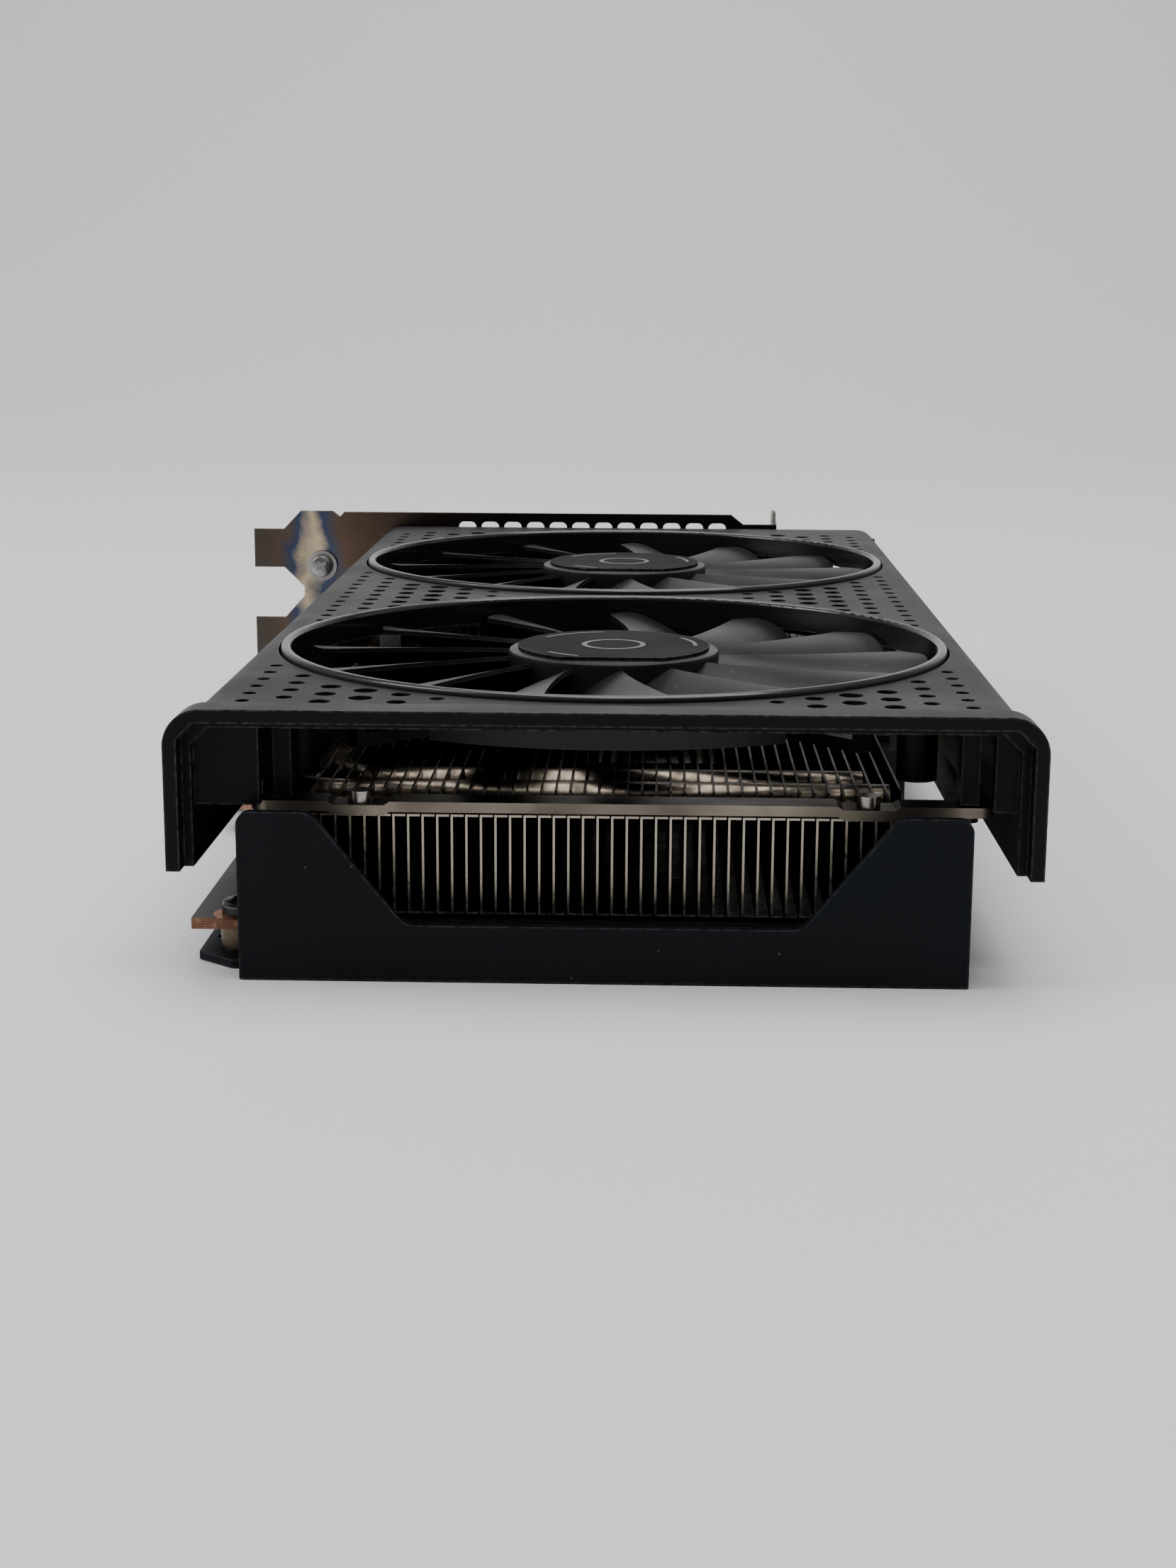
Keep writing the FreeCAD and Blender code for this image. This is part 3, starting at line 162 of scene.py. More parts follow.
def add(tree, kind, settings=None, **inputs):
    """Adds a shader node.  Its inputs go by name, or by number as i0, i1; sockets are wired."""
    item = tree.nodes.new("ShaderNode" + kind)
    for key, value in (settings or {}).items():
        setattr(item, key, value)
    for key, value in inputs.items():
        numbered = key[0] == "i" and key[1:].isdigit()
        socket = item.inputs[int(key[1:]) if numbered else key.replace("_", " ")]
        if isinstance(value, bpy.types.NodeSocket):
            tree.links.new(value, socket)
        else:
            socket.default_value = value
    return item


def figure(tree, operation, first, second=0.0):
    return add(tree, "Math", {"operation": operation}, i0=first, i1=second).outputs[0]


def between(tree, value, low, high, to_low=0.0, to_high=1.0):
    """Fits a value from one range to another, held at both ends."""
    return add(tree, "MapRange", None, i0=value, i1=low, i2=high, i3=to_low, i4=to_high).outputs[0]


def blended(tree, share, first, second):
    item = add(tree, "Mix", {"data_type": "RGBA"}, i0=share)
    for socket, value in ((item.inputs[6], first), (item.inputs[7], second)):
        if isinstance(value, bpy.types.NodeSocket):
            tree.links.new(value, socket)
        else:
            socket.default_value = value
    return item.outputs[2]


def edge_wear_and_highlight():
    """Edge mask broken up by noise, for rubbed wear and for painted edge highlights."""
    group = effect("edge_wear_and_highlight", [("Width", "Float", 0.0006), ("Breakup", "Float", 900.0)],
                   [("Mask", "Float")])
    takes, gives = group.nodes["takes"], group.nodes["gives"]
    place = add(group, "TexCoord").outputs["Object"]
    soft = add(group, "Bevel", {"samples": 4}, Radius=takes.outputs["Width"]).outputs[0]
    true = add(group, "NewGeometry").outputs["Normal"]
    match = add(group, "VectorMath", {"operation": "DOT_PRODUCT"}, i0=soft, i1=true).outputs["Value"]
    edge_wear_and_highlight_share = between(group, match, 0.995, 0.86)
    spots = add(group, "TexNoise", None, Vector=place, Scale=takes.outputs["Breakup"], Detail=3.0).outputs[0]
    group.links.new(figure(group, "MULTIPLY", edge_wear_and_highlight_share, between(group, spots, 0.35, 0.65)), gives.inputs[0])
    return group


def settled_dust():
    """Mask for dust on faces that look up, in drifts and single specks."""
    group = effect("settled_dust", [("Amount", "Float", 0.5)], [("Mask", "Float")])
    takes, gives = group.nodes["takes"], group.nodes["gives"]
    place = add(group, "TexCoord").outputs["Object"]
    up = add(group, "SeparateXYZ", None, i0=add(group, "NewGeometry").outputs["Normal"]).outputs["Z"]
    drifts = add(group, "TexNoise", None, Vector=place, Scale=38.0, Detail=5.0).outputs[0]
    specks = add(group, "TexVoronoi", None, Vector=place, Scale=420.0).outputs["Distance"]
    spots = figure(group, "MULTIPLY", between(group, specks, 0.16, 0.06), between(group, drifts, 0.45, 0.6))
    veil = between(group, drifts, 0.42, 0.75, 0.0, 0.4)
    lying = figure(group, "MULTIPLY", between(group, up, 0.3, 0.9), figure(group, "MAXIMUM", spots, veil))
    group.links.new(figure(group, "MULTIPLY", lying, takes.outputs["Amount"]), gives.inputs[0])
    return group


def moulded_grain():
    """Height and shade of a fine pebbled mould texture."""
    group = effect("moulded_grain", [("Scale", "Float", 2600.0)], [("Height", "Float"), ("Shade", "Float")])
    takes, gives = group.nodes["takes"], group.nodes["gives"]
    place = add(group, "TexCoord").outputs["Object"]
    pebbles = add(group, "TexVoronoi", {"feature": "SMOOTH_F1"}, Vector=place, Scale=takes.outputs["Scale"])
    wide = add(group, "TexNoise", None, Vector=place, Scale=60.0, Detail=4.0).outputs[0]
    fine = add(group, "TexNoise", None, Vector=place, Scale=1500.0, Detail=2.0).outputs[0]
    height = figure(group, "ADD", figure(group, "MULTIPLY", pebbles.outputs["Distance"], 0.7),
                    figure(group, "MULTIPLY", fine, 0.5))
    group.links.new(height, gives.inputs[0])
    group.links.new(wide, gives.inputs[1])
    return group


edge_effect, dust_effect, grain_effect = edge_wear_and_highlight(), settled_dust(), moulded_grain()


def finish_of(name, roughness, metallic=0.0, **others):
    """New material; returns it with its tree and shader."""
    made = bpy.data.materials.new(name)
    made.use_nodes = True
    shader = made.node_tree.nodes["Principled BSDF"]
    shader.inputs["Roughness"].default_value = roughness
    shader.inputs["Metallic"].default_value = metallic
    for key, value in others.items():
        shader.inputs[key.replace("_", " ")].default_value = value
    return made, made.node_tree, shader


def placed(tree, group, **inputs):
    item = tree.nodes.new("ShaderNodeGroup")
    item.node_tree = group
    for key, value in inputs.items():
        item.inputs[key].default_value = value
    return item


def raised(tree, shader, height, strength, distance):
    bump = add(tree, "Bump", None, Strength=strength, Distance=distance, Height=height)
    tree.links.new(bump.outputs[0], shader.inputs["Normal"])


def moulding(name, body, edge_wear_and_highlight_tone, roughness, grain, strength, dust=0.3, width=0.0006, shine=0.3):
    """Black moulded plastic: pebbled, dusted, with paler edges: wear, and on the collar a painted highlight.
    """
    made, tree, shader = finish_of(name, roughness, Specular_IOR_Level=shine)
    pebble = placed(tree, grain_effect, Scale=grain)
    edges = placed(tree, edge_effect, Width=width)
    dusty = placed(tree, dust_effect, Amount=dust)
    tone = blended(tree, between(tree, pebble.outputs["Shade"], 0.3, 0.7), body,
                   tuple(c * 1.35 for c in body[:3]) + (1,))
    tone = blended(tree, figure(tree, "MULTIPLY", edges.outputs[0], 0.6), tone, edge_wear_and_highlight_tone)
    tone = blended(tree, dusty.outputs[0], tone, (0.32, 0.31, 0.3, 1))
    tree.links.new(tone, shader.inputs["Base Color"])
    rough = between(tree, pebble.outputs["Shade"], 0.3, 0.7, roughness - 0.05, roughness + 0.06)
    tree.links.new(figure(tree, "MAXIMUM", rough, figure(tree, "MULTIPLY", dusty.outputs[0], 0.9)),
                   shader.inputs["Roughness"])
    raised(tree, shader, pebble.outputs["Height"], strength, 0.00012)
    return made


def wears(node, *materials):
    """Gives a CAD node its materials."""
    mesh = nodes[node].data
    mesh.materials.clear()
    for made in materials:
        mesh.materials.append(made)


def picked_faces(node, test):
    """Puts the faces that the test picks in the node's second material slot."""
    for face in nodes[node].data.polygons:
        face.material_index = 1 if test(face) else 0


collar_depth = 5.5 * mm
open_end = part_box("shroud")[0].y
cover = moulding("cover_texture", (0.012, 0.012, 0.014, 1), (0.08, 0.08, 0.085, 1), 0.46, 2300.0, 0.5,
                 shine=0.14)
# The collar's paler edge tone is partly rubbed wear and partly a painted highlight on its top front edge.
collar = moulding("collar_satin_and_edge_highlight", (0.005, 0.005, 0.007, 1), (0.16, 0.16, 0.165, 1), 0.36, 3600.0, 0.1,
                  0.06, 0.0005, 0.1)
wears("shroud", cover, collar)
picked_faces("shroud", lambda face: face.center.y < open_end + collar_depth + 0.1 * mm
             or abs(face.normal.z) < 0.3)


# --- Fan frames ----------------------------------------------------------------------------------
# Ring, struts and motor cup of each fan, moulded in a smooth glossy black.  The faces that look
# away from the axis, such as the outside of the skirt, are matt.

ring_gloss = moulding("ring_gloss", (0.008, 0.008, 0.01, 1), (0.2, 0.2, 0.21, 1), 0.16, 3000.0, 0.1, 0.1,
                      0.0005, 0.6)
skirt_matt = moulding("skirt_matt", (0.014, 0.014, 0.017, 1), (0.06, 0.06, 0.065, 1), 0.45, 3000.0, 0.2,
                      0.15, 0.0004, 0.3)
fan_y = {}
for joint in frame["joints"]:
    fan_y[joint["name"].split("_")[0]] = joint["pos_m"][1]


def faces_outward(face, side):
    """True for the upright faces that look away from the fan's axis."""
    outward = face.normal.x * face.center.x + face.normal.y * (face.center.y - fan_y[side])
    return abs(face.normal.z) < 0.5 and outward > 0


for side in ("near", "far"):
    wears(side + "_fan_frame", ring_gloss, skirt_matt)
    picked_faces(side + "_fan_frame", lambda face: faces_outward(face, side))


# --- Fan rotors ----------------------------------------------------------------------------------
# A hub cup with thirteen thin swept blades.  Each blade is twisted, its leading edge is the
# higher one, and its tip is rounded at both corners.

blade_count = 13
blade_thick = 0.7 * mm
rotor_satin = moulding("rotor_satin", (0.009, 0.009, 0.01, 1), (0.09, 0.09, 0.095, 1), 0.32, 4200.0, 0.12,
                       0.25, 0.0003, 0.14)


def blade_sheet(shape, hub_r, tip_r, low, high):
    """Bends a flat grid into one blade: rooted in the hub, swept, twisted and rounded at the tip."""
    grid = bmesh.ops.create_grid(shape, x_segments=16, y_segments=10, size=0.5)
    middle = (low + high) / 2
    for vert in grid["verts"]:
        share, place = vert.co.x + 0.5, 2 * vert.co.y
        rounding = max(0.0, share - 0.86) / 0.14
        half_chord = (3.3 + 5.0 * share ** 0.85) * mm * (1 - 0.34 * rounding ** 2)
        radius = hub_r + (tip_r - hub_r) * share - 1.7 * mm * rounding * place ** 4
        across = 15.0 * mm * share ** 1.5 + half_chord * place
        angle = across / radius * (0.86 + 0.14 * (1 - share))
        lift = (high - low) / 2 * (1 - 0.16 * share) * place
        camber = (0.45 + 0.75 * share) * mm * (1 - place * place)
        vert.co = Vector((radius * math.cos(angle), radius * math.sin(angle), middle + lift + camber))


def fan_rotor(side):
    """Blades and hub cup in one mesh, in place of the CAD rotor."""
    node = side + "_fan_rotor"
    low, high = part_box(node)
    hub_r, tip_r = 16.4 * mm, (high.x - low.x) / 2 - 0.05 * mm
    shape = bmesh.new()
    blade_sheet(shape, hub_r - 0.8 * mm, tip_r, low.z + 0.9 * mm, high.z - 0.9 * mm)
    bmesh.ops.recalc_face_normals(shape, faces=shape.faces[:])
    if sum(face.normal.z for face in shape.faces) < 0:
        bmesh.ops.reverse_faces(shape, faces=shape.faces[:])
    bmesh.ops.solidify(shape, geom=shape.faces[:], thickness=blade_thick)
    bmesh.ops.rotate(shape, verts=shape.verts[:], matrix=Matrix.Rotation(math.pi / blade_count, 3, "Z"))
    whole = shape.verts[:] + shape.edges[:] + shape.faces[:]
    bmesh.ops.spin(shape, geom=whole, axis=(0, 0, 1), cent=(0, 0, 0), dvec=(0, 0, 0), use_duplicate=True,
                   angle=2 * math.pi * (blade_count - 1) / blade_count, steps=blade_count - 1)
    cup = bmesh.new()
    bottom, top, wall = low.z, high.z, 1.2 * mm
    boss_r, bore_r, boss_end = 1.9 * mm, 1.05 * mm, top - 3.4 * mm
    corners = [(0, top), (hub_r - 0.7 * mm, top), (hub_r - 0.2 * mm, top - 0.2 * mm),
               (hub_r, top - 0.75 * mm), (hub_r, bottom), (hub_r - wall, bottom), (hub_r - wall, top - wall),
               (boss_r, top - wall), (boss_r, boss_end), (bore_r, boss_end), (bore_r, top - wall),
               (0, top - wall)]
    points = [cup.verts.new((x, 0, z)) for x, z in corners]
    edges = [cup.edges.new(pair) for pair in zip(points, points[1:])]
    bmesh.ops.spin(cup, geom=points + edges, axis=(0, 0, 1), cent=(0, 0, 0), dvec=(0, 0, 0),
                   angle=2 * math.pi, steps=96, use_merge=True)
    bmesh.ops.remove_doubles(cup, verts=cup.verts[:], dist=1e-6)
    bmesh.ops.recalc_face_normals(cup, faces=cup.faces[:])
    hub = bpy.data.meshes.new("hub")
    cup.to_mesh(hub)
    cup.free()
    shape.from_mesh(hub)
    bpy.data.meshes.remove(hub)
    bmesh.ops.translate(shape, verts=shape.verts[:], vec=(0, fan_y[side], 0))
    for face in shape.faces:
        face.smooth = True
    thing = linked(side + "_rotor", shape)
    thing.data.materials.append(rotor_satin)
    thing.data.set_sharp_from_angle(angle=math.radians(38))
    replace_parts(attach(thing, side + "_rotor"), node)


for side in ("near", "far"):
    fan_rotor(side)


# --- Hub badges ----------------------------------------------------------------------------------
# A thin satin disc with two flats is stuck on each hub.  It carries three grey arcs near its rim
# and a plain ring in the middle.

badge_satin = moulding("badge_satin", (0.005, 0.006, 0.007, 1), (0.16, 0.16, 0.165, 1), 0.56, 5200.0, 0.06,
                       0.15, 0.0004, 0.03)
mark_grey, mark_tree, mark_shader = finish_of("mark_grey", 0.42, 0.2)
mark_cloud = placed(mark_tree, grain_effect, Scale=4000.0)
mark_tree.links.new(blended(mark_tree, between(mark_tree, mark_cloud.outputs["Shade"], 0.3, 0.7),
                            (0.1, 0.1, 0.103, 1), (0.14, 0.14, 0.143, 1)), mark_shader.inputs["Base Color"])
raised(mark_tree, mark_shader, mark_cloud.outputs["Height"], 0.1, 0.0001)


def arc_strip(shape, radius, width, start, turn):
    """Flat strip along an arc."""
    inner, outer = shape.verts.new((radius, 0, 0)), shape.verts.new((radius + width, 0, 0))
    edge = shape.edges.new((inner, outer))
    made = [inner, outer]
    bmesh.ops.rotate(shape, verts=made, matrix=Matrix.Rotation(start, 3, "Z"))
    bmesh.ops.spin(shape, geom=made + [edge], axis=(0, 0, 1), cent=(0, 0, 0), dvec=(0, 0, 0), angle=turn,
                   steps=28)


def hub_marks(side):
    """Arcs and ring, laid flat on the badge and then given a height."""
    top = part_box(side + "_hub_badge")[1].z
    ring_sides, sunk, high = 72, 0.02 * mm, 0.08 * mm
    shape = bmesh.new()
    for start, turn in ((98, 50), (-4, 38), (-140, 26)):
        arc_strip(shape, 12.4 * mm, 0.6 * mm, math.radians(start), math.radians(turn))
    bmesh.ops.create_circle(shape, segments=ring_sides, radius=5.0 * mm, cap_ends=True)
    disc = [face for face in shape.faces if len(face.verts) == ring_sides]
    bmesh.ops.inset_region(shape, faces=disc, thickness=0.8 * mm, use_boundary=True)
    inside = [face for face in shape.faces if len(face.verts) == ring_sides]
    bmesh.ops.delete(shape, geom=inside, context="FACES")
    bmesh.ops.recalc_face_normals(shape, faces=shape.faces[:])
    for face in shape.faces:
        if face.normal.z < 0:
            face.normal_flip()
    bmesh.ops.translate(shape, verts=shape.verts[:], vec=(0, fan_y[side], top - sunk))
    grown = bmesh.ops.extrude_face_region(shape, geom=shape.faces[:])
    bmesh.ops.translate(shape, verts=[v for v in grown["geom"] if isinstance(v, bmesh.types.BMVert)],
                        vec=(0, 0, high))
    bmesh.ops.recalc_face_normals(shape, faces=shape.faces[:])
    thing = linked(side + "_hub_marks", shape)
    thing.data.materials.append(mark_grey)
    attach(thing, side + "_rotor")


for side in ("near", "far"):
    wears(side + "_hub_badge", badge_satin)
    hub_marks(side)


# --- Fan motors ----------------------------------------------------------------------------------
# Inside each hub: a ground steel shaft in a brass sleeve, a bonded magnet ring, a stator with
# enamelled windings, and a small black drive board.

def metal(name, tone, other, roughness, cloud=120.0, streak=(1, 1, 1), strength=0.15, edge=None):
    """Bare or plated metal: cloudy tone, fine streaks, and paler rubbed edges."""
    made, tree, shader = finish_of(name, roughness, 1.0)
    place = add(tree, "TexCoord").outputs["Object"]
    stretched = add(tree, "Mapping", None, Vector=place, Scale=streak).outputs[0]
    clouds = add(tree, "TexNoise", None, Vector=place, Scale=cloud, Detail=5.0).outputs[0]
    streaks = add(tree, "TexNoise", None, Vector=stretched, Scale=900.0, Detail=3.0).outputs[0]
    colour = blended(tree, between(tree, clouds, 0.35, 0.68), tone, other)
    if edge:
        edges = placed(tree, edge_effect, Width=0.0004)
        colour = blended(tree, figure(tree, "MULTIPLY", edges.outputs[0], 0.8), colour, edge)
    tree.links.new(colour, shader.inputs["Base Color"])
    mottled = figure(tree, "ADD", figure(tree, "MULTIPLY", clouds, 0.6),
                     figure(tree, "MULTIPLY", streaks, 0.4))
    tree.links.new(between(tree, mottled, 0.3, 0.7, roughness * 0.75, roughness * 1.4),
                   shader.inputs["Roughness"])
    raised(tree, shader, streaks, strength, 0.00004)
    return made


ground_steel = metal("ground_steel", (0.62, 0.62, 0.63, 1), (0.5, 0.5, 0.51, 1), 0.18, streak=(1, 1, 0.1))
turned_brass = metal("turned_brass", (0.62, 0.45, 0.2, 1), (0.5, 0.36, 0.17, 1), 0.3, streak=(1, 1, 12))
winding = metal("winding_enamel", (0.45, 0.17, 0.06, 1), (0.3, 0.11, 0.05, 1), 0.32, streak=(1, 1, 8),
                strength=0.5)
magnet = moulding("bonded_magnet", (0.03, 0.029, 0.028, 1), (0.09, 0.09, 0.09, 1), 0.6, 1800.0, 0.4, 0.1)
drive_board = moulding("drive_board", (0.01, 0.016, 0.012, 1), (0.1, 0.09, 0.06, 1), 0.35, 2400.0, 0.1, 0.1)
for side in ("near", "far"):
    wears(side + "_fan_shaft", ground_steel)
    wears(side + "_bearing_sleeve", turned_brass)
    wears(side + "_stator", winding)
    wears(side + "_magnet_ring", magnet)
    wears(side + "_motor_board", drive_board)


# --- Mid frame and its rivets --------------------------------------------------------------------
# A champagne-toned plated steel strap across each end, with pressed dips at the rivets and a
# rail along one side.  The shroud's posts are screwed to it from below.

# Darkened copy of the plating, as painted shade on the strap's top; the retention plate shares it.
frame_plate = metal("frame_plate", (0.13, 0.112, 0.09, 1), (0.07, 0.06, 0.047, 1), 0.36, streak=(0.15, 1, 1),
                    edge=(0.5, 0.46, 0.4, 1))
rivet_plate = metal("rivet_plate", (0.42, 0.39, 0.35, 1), (0.3, 0.28, 0.25, 1), 0.28,
                    edge=(0.7, 0.66, 0.6, 1))
oxide = metal("black_oxide", (0.05, 0.05, 0.05, 1), (0.03, 0.03, 0.03, 1), 0.36, edge=(0.3, 0.29, 0.28, 1))
# Paler copy of the plating on the upright faces, as a painted highlight along the strap's edges.
strap_edge_highlight = metal("strap_edge_highlight", (0.27, 0.235, 0.19, 1), (0.19, 0.163, 0.13, 1), 0.4, streak=(0.15, 1, 1))
wears("mid_frame", frame_plate, strap_edge_highlight)
picked_faces("mid_frame", lambda face: abs(face.normal.z) < 0.5)
wears("frame_rivets", rivet_plate)
wears("shroud_screws", oxide)


# --- Heatsink ------------------------------------------------------------------------------------
# Stamped aluminium fins with folded tabs, with painted shade between them and a painted highlight
# along their edges, on nickel plated pipes and a milled cold plate.

def fin_edge_highlight():
    """Sheared front edges of the fins, pale as a painted highlight, with a painted glint on the lower tabs.
    """
    made, tree, shader = finish_of("fin_edge_highlight", 0.34, 1.0)
    place = add(tree, "TexCoord").outputs["Object"]
    spot = add(tree, "SeparateXYZ", None, i0=place)
    above_tabs, on_tabs = 0.0081, 0.0077
    tab_glint_share = between(tree, spot.outputs["Z"], above_tabs, on_tabs)
    burr = add(tree, "TexNoise", None, Vector=place, Scale=1100.0, Detail=4.0).outputs[0]
    # Both edge tones are a painted highlight; the tab tone below is a painted glint.
    colour = blended(tree, between(tree, burr, 0.3, 0.7), (0.34, 0.3, 0.24, 1), (0.62, 0.55, 0.45, 1))
    colour = blended(tree, tab_glint_share, colour, (0.9, 0.86, 0.78, 1))
    tree.links.new(colour, shader.inputs["Base Color"])
    tree.links.new(between(tree, burr, 0.3, 0.7, 0.25, 0.5), shader.inputs["Roughness"])
    raised(tree, shader, burr, 0.5, 0.0001)
    return made


def fin_finish():
    """Dark fin sheet as painted shade between fins; edges paler as wear and, at the open end, painted
    highlight.
    """
    made, tree, shader = finish_of("fin_sheet_with_painted_shade", 0.3, 1.0)
    place = add(tree, "TexCoord").outputs["Object"]
    edges = placed(tree, edge_effect, Width=0.0005, Breakup=1500.0)
    spot = add(tree, "SeparateXYZ", None, i0=place)
    behind_front, at_front = -0.1036, -0.1042
    front = between(tree, spot.outputs["Y"], behind_front, at_front)
    clouds = add(tree, "TexNoise", None, Vector=place, Scale=260.0, Detail=4.0).outputs[0]
    darker_patch_share = figure(tree, "MULTIPLY", between(tree, clouds, 0.35, 0.7), 0.5)
    # The dark sheet tones are painted shade between the fins; the noise only varies them at random.
    colour = blended(tree, darker_patch_share, (0.07, 0.063, 0.055, 1), (0.035, 0.031, 0.027, 1))
    # Edges are slightly paler as wear, and much paler toward the open end as a painted highlight.
    edge_wear_and_highlight_share = figure(tree, "MULTIPLY", edges.outputs[0], between(tree, front, 0.0, 1.0, 0.12, 0.8))
    colour = blended(tree, edge_wear_and_highlight_share, colour, (0.72, 0.66, 0.57, 1))
    tree.links.new(colour, shader.inputs["Base Color"])
    tree.links.new(between(tree, clouds, 0.3, 0.7, 0.24, 0.45), shader.inputs["Roughness"])
    raised(tree, shader, clouds, 0.25, 0.0001)
    return made


pipe_nickel = metal("pipe_nickel", (0.2, 0.165, 0.13, 1), (0.05, 0.042, 0.034, 1), 0.27, 420.0, strength=0.3)
plate_nickel = metal("plate_nickel", (0.52, 0.49, 0.45, 1), (0.4, 0.38, 0.35, 1), 0.26, streak=(0.1, 1, 1))
wears("fin_stack", fin_finish(), fin_edge_highlight())
# Front-facing edges and downward faces toward the open end take the painted highlight material.
picked_faces("fin_stack", lambda face: face.normal.y < -0.7 and face.center.y < -104 * mm
             or face.normal.z < -0.7 and face.center.y < -62 * mm)
wears("cold_plate", plate_nickel)
for pipe in ("front_outer", "front_inner", "rear_outer", "rear_inner"):
    wears(pipe + "_pipe", pipe_nickel)


# --- Circuit board -------------------------------------------------------------------------------
# Glass laminate under black solder mask: traces show as faint raised lines, pads are bare
# copper or gold, and the routed edge shows the brown laminate, with painted shade elsewhere on it.

def board_mask():
    """Solder mask over faint traces, with plated holes and some dust."""
    made, tree, shader = finish_of("solder_mask", 0.4, 0.0, Specular_IOR_Level=0.15)
    place = add(tree, "TexCoord").outputs["Object"]
    flat = add(tree, "Mapping", None, Vector=place, Scale=(1, 1, 0)).outputs[0]
    cells = add(tree, "TexVoronoi", {"distance": "MANHATTAN", "feature": "F1"}, Vector=flat, Scale=160.0)
    lines = between(tree, figure(tree, "PINGPONG", cells.outputs["Distance"], 0.08), 0.0, 0.02)
    dots = add(tree, "TexVoronoi", None, Vector=flat, Scale=330.0).outputs["Distance"]
    vias = between(tree, dots, 0.13, 0.1)
    dusty = placed(tree, dust_effect, Amount=0.35)
    colour = blended(tree, lines, (0.018, 0.02, 0.022, 1), (0.008, 0.009, 0.01, 1))
    colour = blended(tree, figure(tree, "MULTIPLY", vias, 0.5), colour, (0.2, 0.13, 0.06, 1))
    colour = blended(tree, dusty.outputs[0], colour, (0.3, 0.29, 0.28, 1))
    tree.links.new(colour, shader.inputs["Base Color"])
    raised(tree, shader, lines, 0.3, 0.00005)
    return made


def board_edge():
    """Layered brown laminate on the edge connector's side, painted near-black elsewhere as painted shade."""
    made, tree, shader = finish_of("laminate_edge", 0.6)
    place = add(tree, "TexCoord").outputs["Object"]
    layers = add(tree, "TexWave", {"bands_direction": "Z"}, Vector=place, Scale=900.0, Distortion=1.5,
                 Detail=2.0)
    fibres = add(tree, "TexNoise", None, Vector=place, Scale=1400.0, Detail=3.0).outputs[0]
    colour = blended(tree, layers.outputs["Fac"], (0.2, 0.075, 0.035, 1), (0.34, 0.15, 0.08, 1))
    colour = blended(tree, between(tree, fibres, 0.5, 0.75), colour, (0.45, 0.26, 0.16, 1))
    spot = add(tree, "SeparateXYZ", None, i0=place)
    # Away from the connector's side the edge is painted near-black as painted shade.
    shaded_edge_share = between(tree, spot.outputs["X"], -0.05, -0.046)
    colour = blended(tree, shaded_edge_share, colour, (0.02, 0.018, 0.016, 1))
    tree.links.new(colour, shader.inputs["Base Color"])
    raised(tree, shader, fibres, 0.4, 0.0001)
    return made


def resin(name, tone, roughness=0.5):
    return moulding(name, tone, (0.14, 0.14, 0.14, 1), roughness, 3800.0, 0.2, 0.2, 0.0003)


contact_gold = metal("contact_gold", (0.82, 0.55, 0.2, 1), (0.7, 0.45, 0.16, 1), 0.22, streak=(0.2, 1, 1))
can_metal = metal("can_metal", (0.62, 0.62, 0.62, 1), (0.5, 0.5, 0.5, 1), 0.3, edge=(0.75, 0.75, 0.75, 1))
wears("circuit_board", board_mask(), board_edge())
picked_faces("circuit_board", lambda face: abs(face.normal.z) < 0.5)
wears("edge_contacts", contact_gold)
wears("processor_package", resin("package_green", (0.012, 0.05, 0.025, 1), 0.4))
wears("processor_die", resin("die_silicon", (0.05, 0.05, 0.06, 1), 0.12))
wears("memory_chips", resin("memory_resin", (0.017, 0.017, 0.017, 1)))
wears("power_transistors", resin("transistor_resin", (0.02, 0.02, 0.02, 1)))
wears("power_chokes", resin("choke_powder", (0.06, 0.06, 0.062, 1), 0.55))
wears("thermal_pads", resin("pad_silicone", (0.16, 0.2, 0.26, 1), 0.75))
wears("capacitor_cans", can_metal)
# The fan header is given a near-black tone as painted shade where it sits inside the shroud.
wears("fan_header", resin("header_nylon_shaded", (0.02, 0.02, 0.02, 1), 0.5))

board_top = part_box("circuit_board")[1].z
chip_ends = metal("solder_ends", (0.6, 0.59, 0.57, 1), (0.45, 0.44, 0.43, 1), 0.3)
chip_body = resin("chip_ceramic", (0.1, 0.065, 0.04, 1), 0.5)
ferrite = resin("chip_black", (0.02, 0.02, 0.02, 1), 0.4)


def small_parts():
    """Capacitors and resistors scattered over six areas, each a body between two soldered ends."""
    shape = bmesh.new()
    place = random.Random(11)
    areas = ((-40, -104, 38, -70, 46), (-54, -60, -40, 70, 60), (-36, 84, 40, 100, 40),
             (-56, 20, -48, 86, 22), (-36, 38, 30, 43, 24), (36, -10, 44, 60, 26))
    sizes = ((1.6, 0.8, 0.7), (1.0, 0.5, 0.45), (2.0, 1.25, 1.0))
    for x_low, y_low, x_high, y_high, count in areas:
        for _ in range(count):
            x, y = place.uniform(x_low, x_high) * mm, place.uniform(y_low, y_high) * mm
            long, wide, tall = place.choice(sizes)
            along = place.random() < 0.5
            kind = place.choice((0, 0, 1))
            for part, (offset, share) in enumerate(((0, 0.62), (-0.4, 0.2), (0.4, 0.2))):
                block = bmesh.ops.create_cube(shape, size=1)
                grow = 1.0 if part == 0 else 1.04
                size = (long * share * mm, wide * grow * mm, tall * grow * mm)
                bmesh.ops.scale(shape, verts=block["verts"], vec=size)
                bmesh.ops.translate(shape, verts=block["verts"], vec=(long * offset * mm, 0, tall / 2 * mm))
                if along:
                    bmesh.ops.rotate(shape, verts=block["verts"], matrix=Matrix.Rotation(math.pi / 2, 3, "Z"))
                bmesh.ops.translate(shape, verts=block["verts"], vec=(x, y, board_top))
                for face in {f for v in block["verts"] for f in v.link_faces}:
                    face.material_index = 2 if part else kind
    thing = linked("board_small_parts", shape)
    for made in (chip_body, ferrite, chip_ends):
        thing.data.materials.append(made)
    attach(thing, "card")


small_parts()
